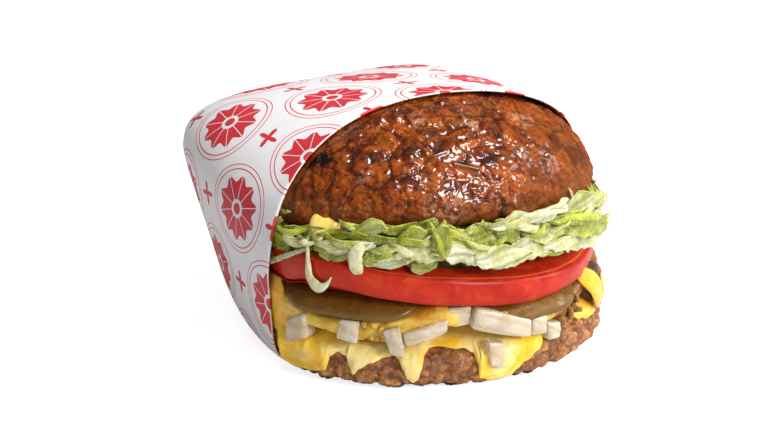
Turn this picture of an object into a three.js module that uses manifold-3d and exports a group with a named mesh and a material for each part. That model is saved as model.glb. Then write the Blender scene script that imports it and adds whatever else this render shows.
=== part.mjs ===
// A double cheeseburger without a bun: two beef patties hold the filling between them, and a
// printed paper wrapper covers the rear half. Millimetres, +Z up. The origin lies on the floor
// on the axis of the patties. The wrapper opens towards -Y and is closed towards +Y.

import * as THREE from 'three';
import { ParametricGeometry } from 'three/addons/geometries/ParametricGeometry.js';
import { ImprovedNoise } from 'three/addons/math/ImprovedNoise.js';
import { mergeVertices } from 'three/addons/utils/BufferGeometryUtils.js';
import Module from 'manifold-3d';

// Driving dimensions
const gap = 0.35; // air between neighbouring pieces
const openSides = 30; // facets round the open front half of a patty and its cheese
const wrappedSides = 8; // facets round the half inside the paper

const lowerPatty = {
  radius: 55,
  height: 15.2,
  squareness: 3.2, // of the upper half of its side
  footSquareness: 7, // of the lower half
  rimLift: 2.4,
  rimLiftAngle: -40,
};
const upperPatty = { radius: 51, rimHeight: 49, top: 71.4 };
const cheese = { thickness: 1.5, hemHeight: 13.6 };
const relish = { radius: 52, bottom: 13.5, top: 27 };
const tomatoSlice = { thickness: 8, squareness: 5, droopStart: 0.74 };
const pickleSlice = { halfLength: 19.4, halfDepth: 14.6, squareness: 2.8, thickness: 4.2, bendStart: 45 };
const lettuce = { radius: 50, bottom: 27, top: 50, leafThickness: 1.1 };
const paper = {
  thickness: 0.8,
  mouthHalfWidth: 57,
  mouthHeight: 72.4,
  mouthWidestAt: 27,
  backHalfWidth: 49,
  backHeight: 61.5,
  backWidestAt: 38,
  mouthY: -5,
  mouthLean: 8, // how far the mouth's top edge stands ahead of its bottom edge
  mouthSkew: 16, // how much further ahead its right shoulder stands
  backY: 53,
  backLean: 12, // how far the back leans out at the top
  closingHeight: 30, // the folds of the back meet at this height
  floorBlend: 1.2, // lowest stretch of the section that is pressed flat
};

const tau = Math.PI * 2;
const wasm = await Module();
wasm.setup();
const perlin = new ImprovedNoise();

// Numbers

function lerp(from, to, share) {
  return from + (to - from) * share;
}

function degrees(angle) {
  return (angle * Math.PI) / 180;
}

// Soft noise from -1 to 1 whose lumps are about `size` across
function lumps(x, y, z, size, seed) {
  return perlin.noise(x / size + seed * 7.31, y / size + seed * 3.17, z / size + seed * 1.73);
}

// Random numbers from 0 to 1 that are the same in each run
function seededRandom(seed) {
  let state = seed;
  return () => {
    state = (state * 1664525 + 1013904223) % 4294967296;
    return state / 4294967296;
  };
}

// Point of a superellipse of half-size 1 in the direction `angle`
function squareRound(angle, squareness) {
  const c = Math.cos(angle);
  const s = Math.sin(angle);
  const reach = (Math.abs(c) ** squareness + Math.abs(s) ** squareness) ** (-1 / squareness);
  return { across: reach * c, along: reach * s };
}

// Smooth hump that is 1 in the middle and 0 from `halfWidth` outwards
function hump(distance, halfWidth) {
  const share = Math.min(1, Math.abs(distance) / halfWidth);
  return 0.5 + 0.5 * Math.cos(Math.PI * share);
}

// Difference of two angles in degrees, from -180 to 180
function turnBetween(a, b) {
  return ((((a - b) % 360) + 540) % 360) - 180;
}

// Value between the rows [degrees, value] of a table that goes once round
function aroundTable(table, turn) {
  const at = ((turn % 360) + 540) % 360 - 180;
  let previous = [table[table.length - 1][0] - 360, table[table.length - 1][1]];
  for (const row of [...table, [table[0][0] + 360, table[0][1]]]) {
    if (at <= row[0]) {
      const share = (at - previous[0]) / (row[0] - previous[0]);
      return lerp(previous[1], row[1], share * share * (3 - 2 * share));
    }
    previous = row;
  }
  return previous[1];
}

// Closed surfaces

function signedVolume(geometry) {
  const a = new THREE.Vector3();
  const b = new THREE.Vector3();
  const c = new THREE.Vector3();
  const position = geometry.attributes.position;
  const index = geometry.index.array;
  let volume = 0;
  for (let i = 0; i < index.length; i += 3) {
    a.fromBufferAttribute(position, index[i]);
    b.fromBufferAttribute(position, index[i + 1]);
    c.fromBufferAttribute(position, index[i + 2]);
    volume += a.dot(b.cross(c)) / 6;
  }
  return volume;
}

// Joins the seam and the poles of a surface grid and turns its faces outwards
function closeSurface(geometry) {
  geometry.deleteAttribute('normal');
  geometry.deleteAttribute('uv');
  const merged = mergeVertices(geometry, 1e-4);
  const old = merged.index.array;
  const kept = [];
  for (let i = 0; i < old.length; i += 3) {
    const [a, b, c] = [old[i], old[i + 1], old[i + 2]];
    if (a !== b && b !== c && c !== a) {
      kept.push(a, b, c);
    }
  }
  merged.setIndex(kept);
  if (signedVolume(merged) < 0) {
    for (let i = 0; i < kept.length; i += 3) {
      [kept[i + 1], kept[i + 2]] = [kept[i + 2], kept[i + 1]];
    }
    merged.setIndex(kept);
  }
  return merged;
}

// Round body: `point(row, angle, target)` gives the surface, where row runs from 0 at one pole
// to 1 at the other and the angle, in radians, runs once round the body
function roundBody(rows, sides, point) {
  const surface = (u, v, target) => {
    point(v, u === 1 ? 0 : u * tau, target);
  };
  return closeSurface(new ParametricGeometry(surface, sides, rows));
}

// Round body with finer facets on the half that the paper leaves open
function pattyLikeBody(rows, point) {
  const sides = openSides + wrappedSides;
  return roundBody(rows, sides, (row, angle, target) => {
    const side = Math.round((angle / tau) * sides);
    const isOpen = side < openSides;
    const turn = isOpen
      ? lerp(-Math.PI, 0, side / openSides)
      : lerp(0, Math.PI, (side - openSides) / wrappedSides);
    point(row, turn, target);
  });
}

const leafCorners = [[-1, -1], [0, -1], [1, -1], [1, 1], [0, 1], [-1, 1]];
const shredCorners = [[-1, -1], [1, -1], [1, 1], [-1, 1]];

// Ribbon along a path, whose two faces are split into triangles alike. `frame(share)` gives the
// middle, the direction of the width, that of the thickness, both half-sizes and the cupping at
// a share of the length. `corners` lists the section's corners as [side, face].
function ribbon(steps, corners, frame) {
  const count = corners.length;
  const positions = [];
  const index = [];
  for (let step = 0; step <= steps; step += 1) {
    const at = frame(step / steps);
    for (const [side, face] of corners) {
      const point = at.middle.clone().addScaledVector(at.wide, side * at.halfWidth);
      point.addScaledVector(at.thick, face * at.halfThickness + (1 - side * side) * at.cup);
      positions.push(point.x, point.y, point.z);
    }
  }
  for (let step = 0; step < steps; step += 1) {
    for (let corner = 0; corner < count; corner += 1) {
      const a = step * count + corner;
      const b = step * count + ((corner + 1) % count);
      const c = a + count;
      const d = b + count;
      if (corner < count / 2) {
        index.push(a, b, d, a, d, c);
      } else {
        index.push(a, b, c, b, d, c);
      }
    }
  }
  for (const [share, first] of [[0, 0], [1, steps * count]]) {
    const middle = frame(share).middle;
    const centre = positions.length / 3;
    positions.push(middle.x, middle.y, middle.z);
    for (let corner = 0; corner < count; corner += 1) {
      const a = first + corner;
      const b = first + ((corner + 1) % count);
      if (share === 0) {
        index.push(b, a, centre);
      } else {
        index.push(a, b, centre);
      }
    }
  }
  const geometry = new THREE.BufferGeometry();
  geometry.setAttribute('position', new THREE.Float32BufferAttribute(positions, 3));
  geometry.setIndex(index);
  return closeSurface(geometry);
}

// Joins and cuts

function toManifold(geometry) {
  const mesh = new wasm.Mesh({
    numProp: 3,
    vertProperties: new Float32Array(geometry.attributes.position.array),
    triVerts: new Uint32Array(geometry.index.array),
  });
  return new wasm.Manifold(mesh);
}

function toGeometry(manifold) {
  const mesh = manifold.getMesh();
  const geometry = new THREE.BufferGeometry();
  geometry.setAttribute('position', new THREE.BufferAttribute(mesh.vertProperties, 3));
  geometry.setIndex([...mesh.triVerts]);
  return geometry;
}

// Keeps the largest of the bodies that a cut has left
function largest(manifold) {
  let best = null;
  for (const piece of manifold.decompose()) {
    if (best === null || piece.volume() > best.volume()) {
      best = piece;
    }
  }
  return best;
}

function cut(manifold, ...tools) {
  let result = manifold;
  for (const tool of tools) {
    result = result.subtract(tool);
  }
  return result;
}

// Lower patty: a thick disc with a crumbly side. Its front part sags off the paper to the floor.
// `grow` moves the whole surface outwards.

function lowerPattySquareness(latitude) {
  return latitude < 0 ? lowerPatty.footSquareness : lowerPatty.squareness;
}

function lowerPattyPoint(latitude, angle, grow, target) {
  const { radius, height, rimLift, rimLiftAngle } = lowerPatty;
  const section = squareRound(latitude, lowerPattySquareness(latitude));
  const x = Math.cos(angle);
  const y = Math.sin(angle);
  const lobes = 1.3 * lumps(x, y, 0, 0.8, 1);
  const spot = radius * section.across;
  const crumbs = lumps(x * spot, y * spot, section.along * 8, 7, 2);
  const reach = (radius + lobes + 0.9 * crumbs + grow) * section.across;
  const onPaper = THREE.MathUtils.smoothstep(y * reach, -15, -8);
  const bottom = lerp(0, paper.thickness + gap, onPaper);
  const middle = bottom + height / 2;
  const lift = rimLift * hump(turnBetween(angle * 180 / Math.PI, rimLiftAngle), 75);
  const edge = Math.min(1, reach / radius) ** 3;
  const upper = Math.max(0, section.along);
  const half = height / 2 + upper * (lift * edge + 0.5 * crumbs) + grow;
  target.set(x * reach, y * reach, middle + half * section.along);
}

function lowerPattyBody(grow) {
  return pattyLikeBody(10, (row, angle, target) => {
    lowerPattyPoint(lerp(-Math.PI / 2, Math.PI / 2, row), angle, grow, target);
  });
}

// Cheese: melted over the lower patty, with tongues that run down its side

const cheeseTongues = [
  { at: -166, halfWidth: 22, drop: 10.6 },
  { at: -146, halfWidth: 7, drop: 8 },
  { at: -129, halfWidth: 6, drop: 10 },
  { at: -101, halfWidth: 16, drop: 11.4 },
  { at: -64, halfWidth: 12, drop: 7.6 },
  { at: -37, halfWidth: 16, drop: 8.4 },
];

function cheeseHemHeight(angle) {
  const turn = (angle * 180) / Math.PI;
  let hem = cheese.hemHeight + 0.8 * lumps(Math.cos(angle), Math.sin(angle), 0, 0.25, 5);
  for (const tongue of cheeseTongues) {
    hem -= tongue.drop * hump(turnBetween(turn, tongue.at), tongue.halfWidth);
  }
  return Math.max(hem, 1.6);
}

function cheeseBody(grow) {
  const half = lowerPatty.height / 2;
  const outerRows = 6;
  const rows = outerRows + 2;
  return pattyLikeBody(rows, (v, angle, target) => {
    const row = Math.round(v * rows);
    const rise = THREE.MathUtils.clamp((cheeseHemHeight(angle) - grow - half) / half, -0.9, 0.9);
    const squareness = lowerPattySquareness(rise);
    const level = (1 - Math.abs(rise) ** squareness) ** (1 / squareness);
    const hemLatitude = Math.atan2(rise, level);
    const share = Math.min(1, row / outerRows);
    const latitude = lerp(Math.PI / 2, hemLatitude, share ** 0.9);
    const outside = gap + cheese.thickness * (1 - 0.35 * share ** 4) + grow;
    lowerPattyPoint(latitude, angle, row > outerRows ? -2 : outside, target);
    if (row > outerRows) {
      const inward = (rows - row) / (rows - outerRows);
      target.x *= inward;
      target.y *= inward;
      target.z = lerp(lowerPatty.height / 2, target.z, inward);
    }
  });
}

// Onion: diced pieces on the rim of the cheese. Angles in degrees round the burger, `z` is the
// height of the middle, `size` is [along the rim, depth, height] and `roll` tips a piece over.

const onionPieces = [
  { at: -163.6, z: 15.4, reach: 53.9, size: [7.8, 5, 6.6], roll: -26, turn: 0 },
  { at: -146.9, z: 17.8, reach: 54.3, size: [5.8, 5, 6.2], roll: 4, turn: 0 },
  { at: -133.7, z: 15.6, reach: 54.3, size: [4.3, 5, 8], roll: -7, turn: 0 },
  { at: -125.1, z: 18.4, reach: 54, size: [12, 4.4, 3.3], roll: -20, turn: 0 },
  { at: -115, z: 22.2, reach: 51.9, size: [5.9, 5, 5.3], roll: -5, turn: 0 },
  { at: -103.1, z: 19.2, reach: 53.7, size: [17.8, 5, 5.4], roll: 18, turn: 0 },
  { at: -90.9, z: 16.5, reach: 54.3, size: [5.3, 5, 5.8], roll: 9, turn: 0 },
  { at: -85.2, z: 13.3, reach: 54.3, size: [4.8, 5, 5], roll: 9, turn: 0 },
  { at: -104.9, z: 10.6, reach: 55.6, size: [4.7, 4, 7.3], roll: 14, turn: 0 },
];

function onionStance(piece) {
  const stance = new THREE.Object3D();
  const angle = degrees(piece.at);
  stance.rotation.order = 'ZYX';
  stance.rotation.z = angle + Math.PI / 2 + degrees(piece.turn);
  stance.rotation.y = degrees(piece.roll);
  stance.position.set(piece.reach * Math.cos(angle), piece.reach * Math.sin(angle), piece.z);
  stance.updateMatrix();
  return stance.matrix;
}

function onionBody(piece, seed) {
  const [along, depth, tall] = piece.size;
  const box = new THREE.BoxGeometry(along, depth, tall, along > 10 ? 4 : 2, 2, 2);
  const solid = closeSurface(box);
  const position = solid.attributes.position;
  for (let i = 0; i < position.count; i += 1) {
    const x = position.getX(i);
    const y = position.getY(i);
    const z = position.getZ(i);
    const corner = (2 * Math.abs(x)) / along + (2 * Math.abs(z)) / tall + (2 * Math.abs(y)) / depth;
    const round = corner > 2.7 ? 0.9 : 1;
    const wobble = 0.5 * lumps(x, y, z, 5, seed + 11);
    const taper = 1 + 0.14 * (x / along) * (seed % 2 ? 1 : -1);
    const bow = ((x / along) ** 2) * 0.1 * along;
    position.setXYZ(i, x * round + wobble, y * round - bow, z * round * taper + wobble * 0.6);
  }
  solid.applyMatrix4(onionStance(piece));
  return solid;
}

// Room that a piece of onion takes out of what it lies in
function onionRoom(piece) {
  const [along, depth, tall] = piece.size;
  const margin = 2 * gap + 1;
  const room = closeSurface(new THREE.BoxGeometry(along + margin, depth + margin, tall + margin));
  room.applyMatrix4(onionStance(piece));
  return room;
}

// Relish: the mush of chopped onion, relish and mustard that fills the space over the cheese

function relishBody() {
  const { radius, bottom, top } = relish;
  return roundBody(6, 24, (row, angle, target) => {
    const section = squareRound(lerp(-Math.PI / 2, Math.PI / 2, row), 3);
    const x = Math.cos(angle);
    const y = Math.sin(angle);
    const mush = lumps(x * radius, y * radius, section.along * 7, 6, 7);
    const reach = (radius + 1.2 * lumps(x, y, 0, 0.5, 8) + 1.2 * mush) * section.across;
    target.set(x * reach, y * reach, lerp(bottom, top, (section.along + 1) / 2));
  });
}

// Pickles: oval slices that lie across the radius under the tomato and droop over the rim

const pickles = {
  pickle_left: { at: -149, distance: 42, z: 28, droop: 2.2 },
  pickle_right: { at: -93, distance: 42, z: 26.2, droop: 4.6 },
};

function pickleBody(place, grow) {
  const { halfLength, halfDepth, squareness, thickness, bendStart } = pickleSlice;
  const centre = degrees(place.at);
  return roundBody(6, 22, (row, angle, target) => {
    const section = squareRound(lerp(-Math.PI / 2, Math.PI / 2, row), 4);
    const round = squareRound(angle, squareness);
    const outward = place.distance + (halfDepth + grow) * round.across * section.across;
    const sideways = (halfLength + grow) * round.along * section.across;
    const x = outward * Math.cos(centre) - sideways * Math.sin(centre);
    const y = outward * Math.sin(centre) + sideways * Math.cos(centre);
    const bend = THREE.MathUtils.clamp((Math.hypot(x, y) - bendStart) / 12, 0, 1.3);
    const level = place.z - thickness / 2 - place.droop * bend ** 1.5;
    target.set(x, y, level + (thickness / 2 + grow) * section.along);
  });
}

// Tomato: two large slices, a wide oval one over a round one that shows at the left.
// `slope` is the fall of the slice for each millimetre towards `slopeAngle`. `hang` is how far its
// rim hangs below its middle, as [degrees round the slice, millimetres].

const tomatoes = {
  tomato_left: { x: -13, y: -3, z: 30.2, halfX: 40, halfY: 40, slope: 0.03, slopeAngle: 0, hang: [[0, 0]] },
  tomato_right: {
    x: -3.2,
    y: -8,
    z: 31.2,
    halfX: 50.4,
    halfY: 46.6,
    slope: 0.09,
    slopeAngle: -55,
    hang: [
      [-178, 4.2],
      [-166, 0.9],
      [-153, -0.2],
      [-137, -0.1],
      [-121, 0.3],
      [-106, 0.7],
      [-90, 0.9],
      [-71, 1.7],
      [-54, 2.5],
      [150, 2.4],
    ],
  },
};

function tomatoBody(slice, grow) {
  const half = tomatoSlice.thickness / 2;
  const fall = degrees(slice.slopeAngle);
  return roundBody(6, 32, (row, angle, target) => {
    const section = squareRound(lerp(-Math.PI / 2, Math.PI / 2, row), tomatoSlice.squareness);
    const lobes = 0.5 * Math.cos(5 * angle + 1) + 0.3 * Math.cos(3 * angle);
    const x = (slice.halfX + lobes + grow) * section.across * Math.cos(angle);
    const y = (slice.halfY + lobes + grow) * section.across * Math.sin(angle);
    const rim = Math.max(0, section.across - tomatoSlice.droopStart) / (1 - tomatoSlice.droopStart);
    const sag = aroundTable(slice.hang, (angle * 180) / Math.PI) * rim ** 1.5;
    const drop = slice.slope * (x * Math.cos(fall) + y * Math.sin(fall)) + sag;
    target.set(slice.x + x, slice.y + y, slice.z - drop + (half + grow) * section.along);
  });
}

// Upper patty: a dome whose flat side lies on the lettuce

const upperPattyProfile = new THREE.SplineCurve([
  new THREE.Vector2(0, upperPatty.rimHeight - 1.5),
  new THREE.Vector2(30, upperPatty.rimHeight - 2.5),
  new THREE.Vector2(43, upperPatty.rimHeight - 4),
  new THREE.Vector2(48.5, upperPatty.rimHeight - 3.4),
  new THREE.Vector2(upperPatty.radius, upperPatty.rimHeight),
  new THREE.Vector2(49.6, upperPatty.rimHeight + 4.2),
  new THREE.Vector2(44.5, upperPatty.rimHeight + 9),
  new THREE.Vector2(36, upperPatty.rimHeight + 14.6),
  new THREE.Vector2(25, upperPatty.rimHeight + 19.3),
  new THREE.Vector2(12, upperPatty.top - 0.5),
  new THREE.Vector2(0, upperPatty.top),
]);

// How far the rim hangs or stands, as [degrees round the burger, millimetres]
const rimHang = [
  [-160, -3.4],
  [-146, -1.6],
  [-132, -0.4],
  [-112, -0.6],
  [-92, -2.2],
  [-70, -3.4],
  [-40, -3],
  [30, -1.5],
  [120, -1],
  [180, -3.5],
];

function upperPattyBody(grow) {
  return pattyLikeBody(12, (row, angle, target) => {
    const at = upperPattyProfile.getPoint(row);
    const along = upperPattyProfile.getTangent(row);
    const x = Math.cos(angle);
    const y = Math.sin(angle);
    const edge = Math.min(1, at.x / upperPatty.radius);
    const crumbs = lumps(x * at.x, y * at.x, at.y, 9, 13) + 0.5 * lumps(x * at.x, y * at.x, at.y, 4, 14);
    const outwards = grow + 0.7 * crumbs * edge;
    const reach = Math.max(0, at.x + along.y * outwards + edge * 1.1 * lumps(x, y, 0, 0.5, 15));
    const isPole = row === 0 || row === 1;
    const low = THREE.MathUtils.clamp((upperPatty.rimHeight + 12 - at.y) / 12, 0, 1);
    const hang = aroundTable(rimHang, (angle * 180) / Math.PI);
    const wave = 0.9 * lumps(x, y, 0, 0.3, 16);
    const z = at.y - along.x * (isPole ? Math.sign(along.x) * grow : outwards) + edge * low * (hang + wave);
    target.set(isPole ? 0 : x * reach, isPole ? 0 : y * reach, z);
  });
}

// Lettuce: a core of shredded leaves with the loose shreds of the rim fused on

function lettuceCore() {
  const { radius, bottom, top } = lettuce;
  return roundBody(6, 28, (row, angle, target) => {
    const section = squareRound(lerp(-Math.PI / 2, Math.PI / 2, row), 5);
    const x = Math.cos(angle);
    const y = Math.sin(angle);
    const folds = 2.2 * lumps(x * 6, y * 6, section.along * 1.5, 0.9, 21);
    const reach = (radius + folds) * section.across;
    target.set(x * reach, y * reach, lerp(bottom, top, (section.along + 1) / 2));
  });
}

// Leaf that runs round the rim and hangs outwards. `lean` is 0 for a level leaf and 90 for one
// that hangs straight down.
function rimLeaf(leaf, seed) {
  const lean = degrees(leaf.lean);
  return ribbon(leaf.steps ?? 4, leaf.corners ?? leafCorners, (share) => {
    const angle = degrees(leaf.at + leaf.spread * (share - 0.5));
    const out = new THREE.Vector3(Math.cos(angle), Math.sin(angle), 0);
    const wave = Math.sin(share * leaf.waves * Math.PI + seed);
    const rise = (leaf.rise ?? 0) * (share - 0.5);
    const middle = out.clone().multiplyScalar(leaf.reach + 0.9 * wave);
    middle.z = leaf.z + rise + leaf.waveHeight * wave;
    const wide = out.clone().multiplyScalar(Math.cos(lean));
    wide.z = -Math.sin(lean);
    const thick = out.clone().multiplyScalar(Math.sin(lean));
    thick.z = Math.cos(lean);
    const ends = Math.sin(Math.PI * lerp(0.12, 0.88, share)) ** 0.6;
    return {
      middle,
      wide,
      thick,
      halfWidth: (leaf.width / 2) * ends,
      halfThickness: lettuce.leafThickness / 2,
      cup: 0.5 + 0.4 * wave,
    };
  });
}

// Leaf that comes out from between the layers and bends down over the tomato
function tongueLeaf(leaf, seed) {
  const angle = degrees(leaf.at);
  const out = new THREE.Vector3(Math.cos(angle), Math.sin(angle), 0);
  const side = new THREE.Vector3(-out.y, out.x, 0);
  return ribbon(4, leafCorners, (share) => {
    const bend = degrees(leaf.bend) * share ** 1.5;
    const run = leaf.length * share;
    const middle = out.clone().multiplyScalar(leaf.from + run * Math.cos(bend * 0.6));
    middle.addScaledVector(side, leaf.skew * share + 0.6 * Math.sin(5 * share + seed));
    middle.z = leaf.z - run * Math.sin(bend * 0.6);
    const thick = out.clone().multiplyScalar(Math.sin(bend));
    thick.z = Math.cos(bend);
    const wide = side.clone();
    wide.z = (leaf.twist ?? 0) * share;
    return {
      middle,
      wide: wide.normalize(),
      thick,
      halfWidth: (leaf.width / 2) * (1 - 0.45 * share ** 3),
      halfThickness: lettuce.leafThickness / 2,
      cup: 0.6,
    };
  });
}

// The thin rib that hangs in a loop over the tomato near the paper's left edge
function hangingLoop() {
  const path = new THREE.CatmullRomCurve3([
    new THREE.Vector3(46, -3, 40),
    new THREE.Vector3(53.5, -2, 37),
    new THREE.Vector3(55.3, -2.4, 31),
    new THREE.Vector3(55.2, 0.5, 26.6),
    new THREE.Vector3(55, 4.5, 27.4),
    new THREE.Vector3(54.6, 7, 31),
  ]);
  const heading = degrees(-160);
  return ribbon(7, shredCorners, (share) => {
    const at = path.getPoint(share);
    const along = path.getTangent(share);
    const middle = new THREE.Vector3(
      at.x * Math.cos(heading) - at.y * Math.sin(heading),
      at.x * Math.sin(heading) + at.y * Math.cos(heading),
      at.z,
    );
    const out = new THREE.Vector3(Math.cos(heading), Math.sin(heading), 0);
    const way = new THREE.Vector3(
      along.x * Math.cos(heading) - along.y * Math.sin(heading),
      along.x * Math.sin(heading) + along.y * Math.cos(heading),
      along.z,
    );
    const wide = new THREE.Vector3().crossVectors(out, way).normalize();
    return {
      middle,
      wide,
      thick: new THREE.Vector3().crossVectors(way, wide).normalize(),
      halfWidth: lerp(1.3, 2, Math.sin(Math.PI * share)),
      halfThickness: lettuce.leafThickness / 2,
      cup: 0,
    };
  });
}

const rimLeaves = [
  { at: -168, spread: 20, reach: 50, z: 35.4, width: 9, lean: 28, waves: 2, waveHeight: 0.8, rise: 2 },
  { at: -166, spread: 16, reach: 49.5, z: 40.6, width: 8, lean: 40, waves: 2, waveHeight: 1, rise: -3 },
  { at: -144, spread: 30, reach: 50.6, z: 39.8, width: 9.5, lean: 48, waves: 2, waveHeight: 0.9, rise: 1 },
  { at: -137, spread: 24, reach: 51.8, z: 37, width: 7, lean: 62, waves: 1, waveHeight: 0.7, rise: 0 },
  { at: -121, spread: 19, reach: 52.2, z: 38.6, width: 9, lean: 56, waves: 2, waveHeight: 0.8, rise: 2 },
  { at: -104, spread: 24, reach: 52.8, z: 37.4, width: 9.6, lean: 50, waves: 2, waveHeight: 0.9, rise: -1 },
  { at: -112, spread: 26, reach: 50.6, z: 42.6, width: 9, lean: 34, waves: 3, waveHeight: 1, rise: 1 },
  { at: -86, spread: 26, reach: 53.2, z: 39, width: 9.4, lean: 44, waves: 3, waveHeight: 1, rise: -2 },
  { at: -76, spread: 24, reach: 53.2, z: 44, width: 9, lean: 30, waves: 3, waveHeight: 1.1, rise: 1 },
  { at: -60, spread: 24, reach: 54, z: 38.4, width: 10, lean: 40, waves: 2, waveHeight: 1, rise: 2 },
  { at: -48, spread: 24, reach: 54, z: 43, width: 9, lean: 22, waves: 3, waveHeight: 1, rise: -2 },
  { at: -32, spread: 26, reach: 52, z: 38.6, width: 9, lean: 38, waves: 2, waveHeight: 1, rise: 0 },
];

const tongueLeaves = [
  { at: -155, from: 42, length: 13, width: 7, z: 39.6, bend: 75, skew: -2, twist: 0.3 },
  { at: -146, from: 42, length: 14.5, width: 4.6, z: 39.4, bend: 95, skew: 1, twist: 0 },
  { at: -130, from: 42, length: 12, width: 8, z: 43, bend: 60, skew: 2, twist: -0.3 },
  { at: -108, from: 42, length: 15, width: 9, z: 40.4, bend: 80, skew: 2, twist: 0.3 },
  { at: -95, from: 42, length: 12, width: 8, z: 43.6, bend: 50, skew: -3, twist: 0.2 },
  { at: -68, from: 42, length: 15, width: 8, z: 45, bend: 44, skew: 3, twist: -0.4 },
  { at: -55, from: 42, length: 15.5, width: 9, z: 41.4, bend: 52, skew: -2, twist: 0.4 },
  { at: -40, from: 42, length: 15, width: 8, z: 46, bend: 40, skew: 2, twist: 0.3 },
  { at: -24, from: 42, length: 11, width: 8, z: 41, bend: 50, skew: 0, twist: 0 },
];

// Shreds between the large leaves, spread over the open front of the burger
function shreds(count) {
  const random = seededRandom(41);
  const list = [];
  for (let i = 0; i < count; i += 1) {
    list.push({
      steps: 3,
      corners: shredCorners,
      at: lerp(-176, -14, (i + random()) / count),
      spread: lerp(6, 11, random()),
      reach: lerp(50.4, 53.4, random()),
      z: lerp(37, 46, random()),
      width: lerp(3, 5, random()),
      lean: lerp(10, 70, random()),
      waves: 1,
      waveHeight: lerp(0.3, 1.4, random()),
      rise: lerp(-5, 5, random()),
    });
  }
  return list;
}

// Corner of a cheese slice that hangs out below the upper patty
function cheeseTip(grow) {
  const angle = degrees(-156.5);
  const out = new THREE.Vector3(Math.cos(angle), Math.sin(angle), 0);
  const side = new THREE.Vector3(-out.y, out.x, 0);
  return ribbon(5, leafCorners, (share) => {
    const bend = degrees(20 + 60 * share);
    const middle = out.clone().multiplyScalar(43.5 + 9.5 * Math.sin(1.35 * share) + grow);
    middle.addScaledVector(side, 1.4 * share);
    middle.z = 46.6 - 6.4 * share ** 1.4 - grow * share;
    const thick = out.clone().multiplyScalar(Math.sin(bend));
    thick.z = Math.cos(bend);
    return {
      middle,
      wide: side,
      thick,
      halfWidth: lerp(5, 2.6, share ** 2) + grow,
      halfThickness: 1.1 + grow,
      cup: 0.5,
    };
  });
}

// How far back the mouth's edge lies at a place of its section. Its top leans ahead, and most so
// at its right shoulder.
function mouthLine(across, along) {
  const upwards = THREE.MathUtils.clamp(along, 0, 1);
  const skew = paper.mouthSkew * THREE.MathUtils.clamp(across, -1, 1) * upwards;
  return paper.mouthY - (paper.mouthLean + skew) * upwards;
}

// Paper wrapper: a boxy pouch. `turn` runs once round the section from the middle of the floor,
// `depth` is an angle, 0 at the mouth and a quarter turn at the middle of the closed back, and
// `inset` is how far inside the paper's outer face the surface lies.

function paperPoint(turn, depth, inset, target) {
  const round = squareRound(depth, 5.5);
  const back = round.along;
  const open = round.across;
  const direction = turn - Math.PI / 2;
  const isUpper = Math.sin(direction) >= 0;
  const squareness = isUpper ? lerp(2.1, 5, back ** 1.5) : lerp(9, 7, back);
  const section = squareRound(direction, squareness);
  const halfWidth = lerp(paper.mouthHalfWidth, paper.backHalfWidth, back ** 1.6) - inset;
  const top = lerp(paper.mouthHeight, paper.backHeight, back ** 1.35) - inset;
  const widestAt = lerp(paper.mouthWidestAt, paper.backWidestAt, back ** 1.2);
  const span = isUpper ? top - widestAt : widestAt + paper.floorBlend - inset;
  const rise = widestAt + span * section.along;
  const height = Math.max(inset, rise);
  const low = 1 - THREE.MathUtils.clamp(height / 50, 0, 1);
  const narrowing = 1 - lerp(0.055, 0.3, back ** 1.5) * low ** 1.1;
  const mouthY = mouthLine(section.across, section.along);
  const z = paper.closingHeight + (height - paper.closingHeight) * open;
  const leaning = paper.backLean * THREE.MathUtils.clamp(z / 52, 0, 1.04);
  const backY = paper.backY + leaning - inset;
  target.set(halfWidth * section.across * narrowing * open, lerp(mouthY, backY, back), z);
}

function paperShell() {
  const outerRows = 10;
  const rows = 2 * outerRows + 1;
  return roundBody(rows, 40, (v, turn, target) => {
    const row = Math.round(v * rows);
    const isOuter = row <= outerRows;
    const depth = (isOuter ? outerRows - row : row - outerRows - 1) / outerRows;
    paperPoint(turn, (depth * Math.PI) / 2, isOuter ? 0 : paper.thickness, target);
  });
}

// The space that the food may fill: all that lies ahead of the mouth, and the inside of the
// wrapper, which is drawn out forwards so that both overlap
function foodSpace() {
  const inset = paper.thickness + gap;
  const rows = 12;
  const forward = 9;
  const inside = roundBody(rows, 40, (v, turn, target) => {
    const row = Math.round(v * rows);
    const depth = THREE.MathUtils.clamp((row - 2) / (rows - 2), 0, 1);
    paperPoint(turn, (depth * Math.PI) / 2, inset, target);
    if (row < 2) {
      target.y -= forward;
    }
    if (row === 0) {
      target.set(0, paper.mouthY - forward, paper.closingHeight);
    }
  });
  const ahead = closeSurface(new THREE.BoxGeometry(150, 100, 120, 8, 1, 14));
  const position = ahead.attributes.position;
  for (let i = 0; i < position.count; i += 1) {
    const x = position.getX(i);
    const z = position.getZ(i) + 60;
    const across = x / paper.mouthHalfWidth;
    const along = (z - paper.mouthWidestAt) / (paper.mouthHeight - paper.mouthWidestAt);
    const rear = mouthLine(across, along) - gap - 0.2;
    position.setXYZ(i, x, position.getY(i) > 0 ? rear : -110, z);
  }
  return toManifold(inside).add(toManifold(ahead));
}

// Fitting: every piece is cut back to leave the gap to the pieces that it lies against

const space = foodSpace();
const lowerPattySolid = toManifold(lowerPattyBody(0));
const lowerPattyRoom = toManifold(lowerPattyBody(gap));
const upperPattySolid = toManifold(upperPattyBody(0));
const upperPattyRoom = toManifold(upperPattyBody(gap));

const tomatoRooms = Object.values(tomatoes).map((slice) => toManifold(tomatoBody(slice, gap)));

const onionRooms = onionPieces.map((piece) => toManifold(onionRoom(piece)));
const onionSolids = onionPieces.map((piece, i) => {
  return cut(toManifold(onionBody(piece, i)), lowerPattyRoom, ...tomatoRooms, ...onionRooms.slice(0, i));
});

const cheeseSolid = cut(toManifold(cheeseBody(0)), lowerPattyRoom, ...onionRooms);
const cheeseRoom = toManifold(cheeseBody(gap));

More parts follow.
